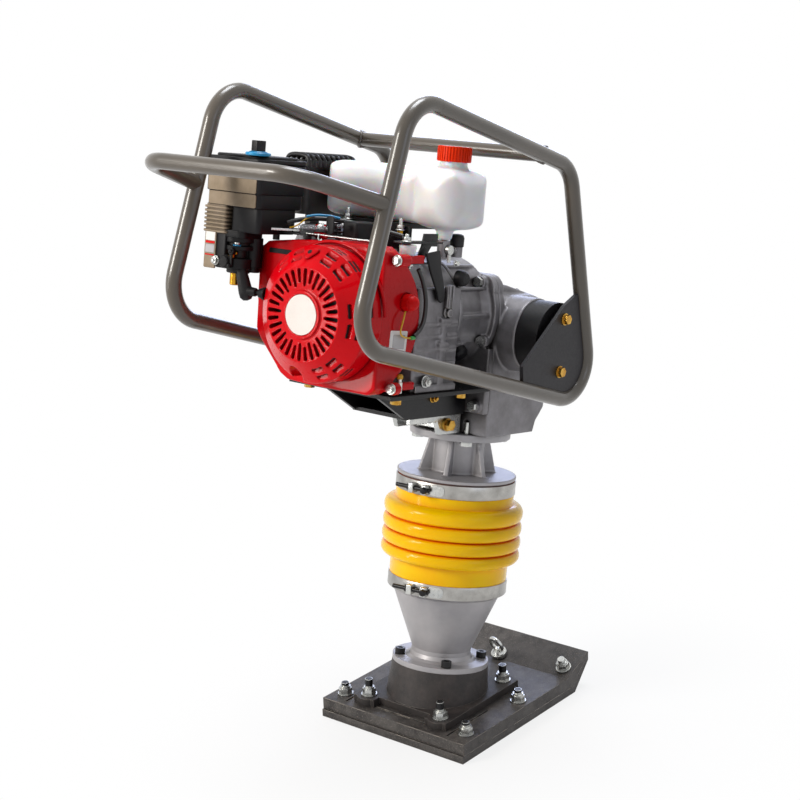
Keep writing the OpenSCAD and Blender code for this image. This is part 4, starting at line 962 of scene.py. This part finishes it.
# %% Plug and boss
plug_section = [(0, 0), (12, 0), (12, 5), (10.5, 12), (8, 15), (0, 16)]
case_plug = turned("case_plug", plug_section, stand(-140, -74, 706, "right"))
add_piece(case_plug, "black_moulded_rubber", "machine")
case_boss = joined("case_boss", [
    plate("boss_body", rounded_box(15, 34, 3), 7, stand(-178, -85, 681, "right"), 1.5),
    plate("boss_rib", rounded_box(4, 34, 1.5), 3, stand(-182, -91, 681, "right"), 0.8),
    plate("boss_rib_2", rounded_box(4, 34, 1.5), 3, stand(-174, -91, 681, "right"), 0.8),
    disc_stack("boss_foot", stand(-178, -84, 658, "right"), [(9, 0, 6), (6, 5, 10)], 1)])
add_piece(case_boss, "cast_aluminium", "machine")
print("boss:", len(case_boss.data.polygons), "faces")

# %% [markdown]
# ### Screws of the crankcase
# Screws in bright and in yellow zinc stand on the castings, a few millimetres proud, as a real head on its
# washer is. A short filler with a yellow cap stands upright beside them.

# %% Screws and oil filler
zinc_screw("case_screw", stand(-158, -80, 728, "right"), 7, 4, 5)
zinc_screw("foot_bolt", stand(-222, -92, 561, "right"), 12, 5, 9, 3)
zinc_screw("bracket_side_bolt", stand(-145, -50, 526, "right"), 10, 5, 7, 3, "yellow")
oil_stud = disc_stack("oil_stud", stand(-281, -92, 548), [(4.4, 0, 16), (3.2, 15, 22)], 0.6, 24)
add_piece(oil_stud, "bright_zinc_plate", "machine")
oil_cap = disc_stack("oil_cap", stand(-281, -92, 568), [(4.6, 0, 7)], 1.4, 24)
add_piece(oil_cap, "yellow_wire_pvc", "machine")
print("oil filler:", oil_stud.name, "and", oil_cap.name)

# %% [markdown]
# ## On the fan cover
# The pressed cover has a ridge round part of the starter's drum, which stiffens the sheet. A rod that is
# half sunk in the cover shows as such a ridge.

# %% Ridge
ridge_radius = 100.5
ridge_turns = [math.radians(a) for a in range(62, 182, 6)]
ridge_path = [(-335, ridge_radius * math.cos(a), 650 + ridge_radius * math.sin(a)) for a in ridge_turns]
drum_ridge = cable("drum_ridge", ridge_path, 2.6)
add_piece(drum_ridge, "red_gloss_enamel", "machine")
print("ridge along", len(ridge_path), "points")

# %% [markdown]
# ### Ear
# A triangular ear with a hole stands on the drum's slope. It is one plate cut to its outline, and the hole
# is a thin black disc on it, which is enough for a blind hole of this size.

# %% Ear of the drum
cone_slope = -51.3
ear_outline = [(7, -13), (9, -11), (9, 11), (7, 13), (4, 13), (-9, 2), (-9, -2), (4, -13)]
ear_place = tipped(moved(LEANED, -378.5, 5, 732.5), cone_slope, "Y")
drum_ear = plate("drum_ear", ear_outline, 3.6, ear_place, 1.5)
add_piece(drum_ear, "red_gloss_enamel", "machine")
ear_hole = disc_stack("ear_hole", moved(ear_place, 2, 0, 3.3), [(3.4, 0, 0.5)], 0.1, 20)
add_piece(ear_hole, "black_moulded_rubber", "machine")
print("the ear slopes by", -cone_slope, "degrees")

# %% [markdown]
# ## Air cleaner
# The cleaner's box is moulded in black plastic in two halves, so a step line runs round it. Each half is a
# plate with round corners, and its rear is a separate thin plate in tan: the warm lamp's sheen on the black
# plastic, painted into its colour.

# %% Cleaner box
cleaner_forward, cleaner_left = -339, 152
cleaner = joined("cleaner_box", [
    plate("box_lower", rounded_box(94, 104, 9), 21, stand(cleaner_forward, cleaner_left, 785), 1.2),
    plate("box_upper", rounded_box(98, 108, 9), 42.5, stand(cleaner_forward, cleaner_left, 805.3), 1.4)])
add_piece(cleaner, "moulded_black_plastic", "machine")
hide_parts("air_cleaner")
# The rear plates paint the warm lamp's tan sheen onto the box's rear face.
cleaner_back_painted_sheen = joined("cleaner_back_painted_sheen", [
    plate("back_lower", rounded_box(19, 92, 3), 1.6, stand(-385.5, cleaner_left, 795.5, "rear"), 0.8),
    plate("back_upper", rounded_box(41, 94, 3), 1.6, stand(-387.5, cleaner_left, 826.5, "rear"), 0.8)])
add_piece(cleaner_back_painted_sheen, "black_plastic_painted_tan_sheen", "machine")
print("box:", len(cleaner.data.polygons), "faces")

# %% [markdown]
# ### Duct
# Air comes in through a ribbed duct below the box, which can flex because the engine shakes. Its ribs are
# equal plates on one core, a little wider than it.

# %% Ribbed duct
top_rib, rib_pitch = 780, 5.7
duct_parts = [plate("duct_core", rounded_box(39, 41, 4), 40, stand(-366, 183, 746), 0.6)]
for rib in range(7):
    rib_place = stand(-366, 183, top_rib - rib_pitch * rib)
    duct_parts.append(plate("duct_rib", rounded_box(44, 46, 5), 3.4, rib_place, 1.3))
duct = joined("cleaner_duct", duct_parts)
# The duct's tan is the warm lamp's sheen, painted on black plastic.
add_piece(duct, "black_plastic_painted_tan_sheen", "machine")
print("duct with", len(duct_parts) - 1, "ribs")

# %% [markdown]
# ### Lid and knob
# The lid is raised in the middle. A black wing on a blue ring holds it down, and both turn on the knob's
# own joint.

# %% Lid and knob
lid = joined("cleaner_lid", [
    plate("lid_rim", rounded_box(102, 108, 10), 6.8, stand(cleaner_forward, cleaner_left, 848.2), 1.6),
    plate("lid_raised", rounded_box(86, 92, 12), 5.4, stand(cleaner_forward, cleaner_left, 853.6), 3.4)])
add_piece(lid, "moulded_black_plastic", "machine")
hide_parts("air_cleaner_lid")
knob_ring = disc_stack("knob_ring", stand(-378, 116, 859.4), [(18, 0, 4.6), (13, 4, 6)], 1.2)
add_piece(knob_ring, "blue_polypropylene", "cleaner_knob")
knob_wing = plate("knob_wing", rounded_box(18, 12, 1.5), 17, stand(-378, 116, 863.4), 1.0)
add_piece(knob_wing, "moulded_black_plastic", "cleaner_knob")
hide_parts("cleaner_knob")
print("lid:", len(lid.data.polygons), "faces")

# %% [markdown]
# ### Side plate
# A plate hangs below the duct, on a black block, tan with the warm lamp's sheen painted into it. It carries
# a label of plain stripes, which is left without any text, and is held by a small round knob and a nut.

# %% Side plate
side_bracket = joined("cleaner_side_plate", [
    plate("side_strip", rounded_box(54, 22, 2), 3, stand(-383, 190, 721, "rear"), 0.6),
    plate("side_edge", rounded_box(48, 5, 1), 14, stand(-370, 199, 721, "rear"), 0.6)])
add_piece(side_bracket, "black_plastic_painted_tan_sheen", "machine")
side_block = plate("cleaner_side_block", rounded_box(50, 18, 3), 16, stand(-368, 171, 721, "rear"), 1.5)
add_piece(side_block, "moulded_black_plastic", "machine")
stripes = (("strip_white", 741, 15, "label_film"), ("strip_red", 731, 3.4, "red_soft_rubber"),
           ("strip_grey", 722, 12, "painted_cone_aluminium"), ("strip_line", 713, 2, "red_soft_rubber"))
for name, up, height, finish_name in stripes:
    stripe = plate(name, rounded_box(height, 18, 0.5), 0.2, stand(-386.1, 190, up, "rear"))
    add_piece(stripe, finish_name, "machine")
plate_knob = disc_stack("side_plate_knob", stand(-380, 160, 706, "rear"), [(10, 0, 5), (8.6, 4, 9)], 1.2)
add_piece(plate_knob, "moulded_black_plastic", "machine")
zinc_screw("side_plate_nut", stand(-385, 178, 706, "rear"), 10, 3.5, 7, 2)
print(len(stripes), "plain stripes")

# %% [markdown]
# ## Carburettor
# The carburettor is a stack of round castings: the mixing body on top, a diaphragm plate, the neck and the
# float bowl at the bottom. Two plates above make the flange and the elbow that leads to the air cleaner.

# %% Stack
body_layers = [(17, 690, 697), (21, 696, 712), (13, 711, 724), (22, 723, 730), (18, 729, 735),
               (22.5, 734, 742)]
stack = joined("carburettor_stack", [
    plate("stack_flange", rounded_box(46, 52, 9), 11, stand(-360, 156, 741), 1.6),
    plate("stack_elbow", rounded_box(80, 56, 8), 36, stand(-342, 130, 750), 2),
    disc_stack("stack_body", stand(-360, 156, 0), body_layers, 1.2),
    disc_stack("stack_pump", stand(-345, 141, 0), [(10, 692, 700), (12, 699, 742)], 1.2)])
add_piece(stack, "moulded_black_plastic", "machine")
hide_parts("carburettor")
print("stack:", len(stack.data.polygons), "faces")

# %% [markdown]
# ### Screws and jets
# The diaphragm plate is held by pale screws, each on a blue ring that is a painted reflection: it stands for
# a blue glint there. The neck has a brass tee, and the float bowl ends in a gold-coloured jet plug.

# %% Screws, jets and intake pipe
for number, (left, up) in enumerate(((164, 735.5), (146, 729.5))):
    # Each blue ring is a painted reflection of a blue glint.
    ring = disc_stack(f"stack_glint_ring_{number}", stand(-376, left, up), [(6, 0, 2)], 0.6, 28)
    add_piece(ring, "blue_polypropylene", "machine")
    screw = disc_stack(f"stack_screw_{number}", stand(-376, left, up + 1.5), [(4.4, 0, 4.5)], 1.0, 28)
    add_piece(screw, "bright_zinc_plate", "machine")
brass_tee = joined("brass_tee", [
    plate("tee_bar", rounded_box(4, 18, 1.5), 4, stand(-374, 154, 719, "rear"), 0.7),
    plate("tee_stem", rounded_box(12, 4, 1.5), 4, stand(-374, 153, 713, "rear"), 0.7)])
add_piece(brass_tee, "brass", "machine")
jet_plug = disc_stack("jet_plug", stand(-362, 160, 672), [(7, 0, 19)], 1.2, 32)
add_piece(jet_plug, "brass", "machine")
intake_pipe = disc_stack("intake_pipe", stand(-334, 150, 716, "front"), [(15, 0, 84)], 2)
add_piece(intake_pipe, "cast_aluminium", "machine")
print(number + 1, "screws on blue rings")

# %% [markdown]
# ## Choke lever
# The choke is worked by a short black arm on the rear of the carburettor. It swings on the choke's own
# shaft, which runs forward into the carburettor, and a thumb tab stands out from its end.

# %% Choke arm
choke_arm = joined("choke_arm", [
    disc_stack("choke_disc", stand(-380, 150, 722, "rear"), [(5.5, 0, 5), (3, 5, 6.5)], 0.8, 32),
    plate("choke_blade", rounded_box(24, 6, 3), 2.4, stand(-382, 150, 712, "rear"), 0.6),
    disc_stack("choke_tab", stand(-382, 150, 701, "rear"), [(3, 0, 7)], 1.0, 24)])
add_piece(choke_arm, "moulded_black_plastic", "choke_lever")
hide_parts("choke_lever")
print("choke arm:", len(choke_arm.data.polygons), "faces")

# %% [markdown]
# ## Starter grip
# The grip hangs beside the cover on its rope. It is a short rubber-covered handle, thicker at its lower
# end, on a stem. Both are turned on the lathe, and the handle leans against the stem.

# %% Grip
grip_section = [(0, -5), (6, -3.5), (9.6, 1), (10.2, 8), (9, 26), (7.4, 44), (5, 50), (0, 52)]
grip_place = tipped(stand(-366, 130, 658), -21, "X")
stem_section = [(0, 0), (5.2, 0), (6.2, 2), (7, 16), (0, 16)]
grip = joined("grip_handle", [
    turned("grip_body", grip_section, grip_place, smooth=60),
    turned("grip_stem", stem_section, stand(-366, 112, 667, "left"))])
add_piece(grip, "black_moulded_rubber", "starter_grip")
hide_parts("starter_grip")
print("grip:", len(grip.data.polygons), "faces")

# %% [markdown]
# ### Rope
# The stem meets the rope guide of the starter, where the rope comes out. The rope is short at rest and
# grows as the grip is pulled, but here it is a short fixed piece on no body.

# %% Guide and rope
guide_section = [(0, 0), (9.5, 0), (9.5, 3), (6.5, 13), (3, 14), (0, 14)]
rope_guide = turned("rope_guide", guide_section, stand(-366, 92, 667, "left"))
add_piece(rope_guide, "moulded_black_plastic", "machine")
rope = cable("starter_rope", [(-366, left, 667) for left in range(94, 120, 5)], 2.2)
add_piece(rope, "black_moulded_rubber", None)
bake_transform(rope)
print("rope:", len(rope.data.polygons), "faces")

# %% [markdown]
# ## Controls on top of the cover
# The governor keeps the engine's speed steady. Its rod runs over the cover to the throttle, and thin
# springs pull against it. A spring is a rod bent along a helix, which is laid between its two ends.

# %% Springs
steps_per_turn = 8


def spring(name, start, end, turns, radius_mm, wire_mm):
    """A helical spring between two points in the leaned directions, in mm."""
    a, b = Vector(start), Vector(end)
    along = (b - a).normalized()
    side = along.orthogonal().normalized()
    other = along.cross(side)
    count = turns * steps_per_turn
    points = []
    for i in range(count + 1):
        angle = 2 * math.pi * i / steps_per_turn
        ring = radius_mm * (math.cos(angle) * side + math.sin(angle) * other)
        points.append(a + (b - a) * i / count + ring)
    return cable(name, points, wire_mm, sides=2)


print("springs ready,", steps_per_turn, "steps in a turn")

# %% [markdown]
# ### Governor rod and springs
# The rod lies across the cover with a hook on it, and the two springs lie in front of it at different
# slants.

# %% Governor rod and springs
rod_path = [(-330, 58, 757), (-330, 52, 757), (-330, 20, 757), (-330, -40, 757.5), (-330, -78, 758),
            (-330, -84, 755)]
hook_path = [(-331, 34, 758), (-334, 32, 755), (-336, 30, 750), (-334, 27, 748), (-331, 28, 751)]
governor_rod = cable("governor_rod", rod_path, 1.2)
add_piece(governor_rod, "bright_zinc_plate", "machine")
rod_hook = cable("rod_hook", hook_path, 1.0)
add_piece(rod_hook, "bright_zinc_plate", "machine")
spring_ends = (((-318, 84, 763), (-318, 28, 766)), ((-300, 70, 762), (-284, 30, 770)))
for number, (start, end) in enumerate(spring_ends):
    coil = spring(f"governor_spring_{number}", start, end, 18, 3.2, 0.55)
    add_piece(coil, "ground_steel", "machine")
print(len(spring_ends), "governor springs")

# %% [markdown]
# ### Governor arm and tab
# The springs end on a black arm that turns on a pivot, and a block beside it stands for the ignition coil.
# A red tab with a bolt stands up behind them. Each is a plate with round corners.

# %% Governor arm and tab
governor_arm = joined("governor_arm", [
    plate("arm_plate", rounded_box(60, 16, 5), 2, stand(-300, 40, 760), 0.6),
    plate("arm_upright", rounded_box(26, 14, 4), 2, stand(-316, 26, 771, "rear"), 0.6),
    disc_stack("arm_pivot", stand(-292, 40, 752), [(6, 0, 12), (3, 11, 19)], 0.8, 24),
    plate("coil_body", rounded_box(46, 30, 6), 24, stand(-266, 14, 754), 3)])
add_piece(governor_arm, "moulded_black_plastic", "machine")
red_tab = plate("red_tab", rounded_box(20, 26, 5), 2, stand(-306, 50, 760, "rear"), 0.6)
add_piece(red_tab, "red_gloss_enamel", "machine")
zinc_screw("tab_bolt", stand(-308, 50, 766, "rear"), 9, 4, 6)
print("arm:", len(governor_arm.data.polygons), "faces")

# %% [markdown]
# ### Wires and hose
# Two thin wires and a thicker hose cross the cover. They lie on it and move with the machine, so each is a
# short rod along a few points and no rope.

# %% Wires and hose
yellow_points = [(-300, 70, 780), (-312, 72, 779), (-322, 74, 772), (-330, 78, 764), (-332, 88, 762)]
blue_points = [(-316, 72, 779), (-306, 66, 783), (-294, 56, 784), (-280, 40, 780)]
hose_points = [(-330, 96, 768), (-312, 84, 776), (-290, 60, 778), (-262, 30, 776), (-236, 0, 768),
               (-222, -30, 762)]
yellow_wire = cable("yellow_wire", yellow_points, 1.0)
add_piece(yellow_wire, "yellow_wire_pvc", "machine")
blue_wire = cable("blue_wire", blue_points, 1.8)
add_piece(blue_wire, "blue_polypropylene", "machine")
black_hose = cable("black_hose", hose_points, 3.4)
add_piece(black_hose, "black_wire_pvc", "machine")
print("wires and hose:", yellow_wire.name, blue_wire.name, black_hose.name)

# %% [markdown]
# ## Muffler guard
# Round black bars stand over the muffler so that a hand can't touch it. All bars have the same bend and
# stand at even distances, so one path is repeated.

# %% Guard bars
bar_bend = ((155, 846), (156, 859), (163, 863), (178, 864), (193, 863), (200, 859), (201, 846))
bar_count, first_bar, bar_pitch = 10, -224, 11.6
for bar in range(bar_count):
    forward = first_bar + bar_pitch * bar
    ribs = cable(f"muffler_bar_{bar}", [(forward, left, up) for left, up in bar_bend], 3.4)
    add_piece(ribs, "black_bracket_enamel", "machine")
print(bar_count, "bars over the muffler")

# %% [markdown]
# ## Welds
# A weld bead closes the joint where a tube meets the side of another. It follows the saddle line where the
# two round tubes cross, and is a little uneven, because it is laid by hand.

# %% Weld beads


def saddle_weld(name, centre, across, along_main, radius_mm, seed):
    """A bead round a tube that ends on another of the same size. across points out along the tube."""
    normal = across.cross(along_main).normalized()
    points = []
    for step in range(48):
        angle = 2 * math.pi * step / 48
        offset = radius_mm * (1.02 + 0.03 * math.sin(5 * angle + seed) + 0.02 * math.sin(11 * angle))
        sideways = offset * (math.cos(angle) * normal + math.sin(angle) * along_main)
        depth = (radius_mm ** 2 - min(offset * abs(math.cos(angle)), radius_mm) ** 2) ** 0.5
        points.append(centre + (sideways + depth * across) * MM)
    return rod(name, points, 2.2 * MM, closed=True)


tube_radius = 11.5
loop_reach = 0.172
loop_slope = Vector((362, 0, -146)).normalized()
bar_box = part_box("guard_crossbar")
bar_middle = (Vector(bar_box[0]) + Vector(bar_box[1])) / 2
for side in (-1, 1):
    weld_name = "crossbar_weld_" + ("left" if side > 0 else "right")
    weld_point = Vector((bar_middle.x, side * loop_reach, bar_middle.z))
    bead = saddle_weld(weld_name, weld_point, Vector((0, -side, 0)), loop_slope, tube_radius, side)
    add_piece(bead, "taupe_stove_enamel", "guard")
    print(bead.name, "at", [round(v, 3) for v in weld_point])

# %% [markdown]
# ## Clamps
# A clamp is a strip of zinc-plated steel rolled into a ring, with a square lug riveted to each end. The
# ring is turned on the lathe from a section whose edges curl out, as they do so that they don't cut the
# rubber.

# %% Clamp ring and lugs


def clamp_ring(name, place, body):
    """The rolled strip of a clamp."""
    section = [(92.1, 0), (93.3, 0), (93.8, 0.8), (93.5, 10.5), (93.8, 20.2), (93.3, 21), (92.1, 21)]
    strap_ring = turned(f"{name}_clamp_ring", section, place, steps=128)
    add_piece(strap_ring, "stainless_band", body)
    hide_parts(f"{name}_clamp")


def clamp_lugs(name, place, body):
    """The two square lugs of a clamp, one each side of its gap."""
    parts = [plate("lug", rounded_box(12, 9, 1.5), 15, moved(place, 99, side * 12, 3), 0.8)
             for side in (-1, 1)]
    lugs = joined(f"{name}_clamp_lugs", parts)
    add_piece(lugs, "bright_zinc_plate", body)


print("ring and lugs ready")

# %% [markdown]
# ### Bolt and tongue
# A black bolt pulls the lugs together: its round head shows on one lug and its thread runs out far past the
# other. A tongue lies over the ring beside it, held by four rivets.

# %% Clamp bolt and tongue
band_middle = 10.5


def clamp_bolt(name, place, body):
    """The bolt through both lugs and its round head."""
    bolt_place = tipped(moved(place, 99, 0, band_middle), 90, "X")
    layers = [(3.3, -20, 16), (5.6, 16.5, 20), (3.3, 20, 42)]
    shank = disc_stack(f"{name}_clamp_bolt", bolt_place, layers, 0.5, 24)
    add_piece(shank, "black_bracket_enamel", body)
    outwards = moved(tipped(moved(place, z=band_middle), 7.5, "Z"), 105)
    head_section = [(0, -1), (5.4, -1), (5.4, 3), (4.2, 5.6), (0, 6.4)]
    head = turned(f"{name}_clamp_head", head_section, tipped(outwards, 90, "Y"), steps=32)
    add_piece(head, "black_bracket_enamel", body)


def clamp_tongue(name, place, body):
    """The riveted tongue beside the bolt."""
    face = tipped(moved(tipped(place, 17, "Z"), 93.6, 0, band_middle), 90, "Y")
    parts = [plate("tongue", rounded_box(17, 24, 7), 1.4, face, 0.5)]
    for x in (-4, 4):
        for y in (-2, 5):
            parts.append(disc_stack("rivet", moved(face, x, y, 1.3), [(1.3, 0, 0.8)], 0.2, 12))
    tongue = joined(f"{name}_clamp_tongue", parts)
    add_piece(tongue, "bright_zinc_plate", body)


print("bolt and tongue ready, in the middle of the band at", band_middle, "mm")

# %% [markdown]
# ### Both clamps
# The lower clamp stays with the foot and the upper one goes with the machine. They are alike, but whoever
# fitted them left their bolts at slightly different angles.

# %% Both clamps
for name, bottom, turn, body in (("lower", 208.5, -171, "foot"), ("upper", 365.5, -178, "machine")):
    clamp_place = tipped(moved(LEANED, z=bottom), turn, "Z")
    clamp_ring(name, clamp_place, body)
    clamp_lugs(name, clamp_place, body)
    clamp_bolt(name, clamp_place, body)
    clamp_tongue(name, clamp_place, body)
    print(name, "clamp from", bottom, "mm up the leg")

# %% [markdown]
# ## Stud ends
# The shoe's studs are black high-strength steel, and only the nuts on them are zinc plated. Each stud is a
# separate solid of the engineering node and is found by the round rim at its top. Its free end above the
# nut is sleeved with a black cap.

# %% Black stud ends
merged_copy("shoe_nuts", "stud_solids")
bpy.ops.object.mode_set(mode="EDIT")
bpy.ops.mesh.select_all(action="SELECT")
bpy.ops.mesh.separate(type="LOOSE")
bpy.ops.object.mode_set(mode="OBJECT")
deck_stud_proud, base_stud_proud, stud_radius = 6, 13, 6
same_height = 1e-5
step_between_rows = 0.005
stud_tops = []
for solid in list(bpy.context.selected_objects):
    top = max(v.co.z for v in solid.data.vertices)
    ring = [v.co for v in solid.data.vertices if v.co.z > top - same_height]
    if len(ring) > 8:
        stud_tops.append((sum(c.x for c in ring) / len(ring), sum(c.y for c in ring) / len(ring), top))
    bpy.data.objects.remove(solid)
lowest_top = min(top for x, y, top in stud_tops)
for number, (x, y, top) in enumerate(sorted(stud_tops)):
    proud = base_stud_proud if top > lowest_top + step_between_rows else deck_stud_proud
    sleeve_place = Matrix.Translation((x, y, top - (proud - 1) * MM))
    stud_end = disc_stack(f"stud_end_{number}", sleeve_place, [(stud_radius + 0.1, 0, proud - 0.9)], 0.8, 32)
    add_piece(stud_end, "black_bracket_enamel", "foot")
print(len(stud_tops), "stud ends")

# %% [markdown]
# ## Floor
# The machine stands on a white studio floor. Near the machine the floor is real paint and takes its shadow.
# Further off it turns to plain white light, so that no edge shows between the floor and the sky.

# %% Floor
deselect_everything()
bpy.ops.mesh.primitive_plane_add(size=60, location=(0, 0, -0.0006))
floor = bpy.context.object
floor.name = "studio_floor"
floor_paint = bpy.data.materials.new("white_studio_floor")
floor_paint.use_nodes = True
floor_tree = floor_paint.node_tree
floor_shader = floor_tree.nodes["Principled BSDF"]
floor_shader.inputs["Base Color"].default_value = linear("#f2f2f2")
floor_shader.inputs["Roughness"].default_value = 0.95
floor.data.materials.append(floor_paint)
print("floor", floor.dimensions.x, "m across")

# %% [markdown]
# ### White further off
# The mix goes by the distance from the machine, and only for rays that see the floor directly. What lights
# the machine from below is always the paint.

# %% Fade of the floor
floor_white = add_node(floor_tree, "Emission", {"Color": (1, 1, 1, 1), "Strength": 1.0})
floor_place = add_node(floor_tree, "TexCoord").outputs["Object"]
floor_away = add_node(floor_tree, "VectorMath", {"operation": "LENGTH"}, {0: floor_place})
fade_from, fade_to = 0.2, 0.6
floor_fade = add_node(floor_tree, "MapRange",
                      {"From Min": fade_from, "From Max": fade_to, "To Min": 0.82, "To Max": 1.0},
                      {"Value": floor_away.outputs["Value"]})
floor_share = add_node(floor_tree, "Math", {"operation": "MULTIPLY"},
                       {0: floor_fade.outputs[0], 1: seen_directly(floor_tree)})
floor_mix = add_node(floor_tree, "MixShader", None,
                     {0: floor_share.outputs[0], 1: floor_shader.outputs[0], 2: floor_white.outputs[0]})
floor_tree.links.new(floor_mix.outputs[0], floor_tree.nodes["Material Output"].inputs["Surface"])
print("the floor fades to white between", fade_from, "and", fade_to, "m")
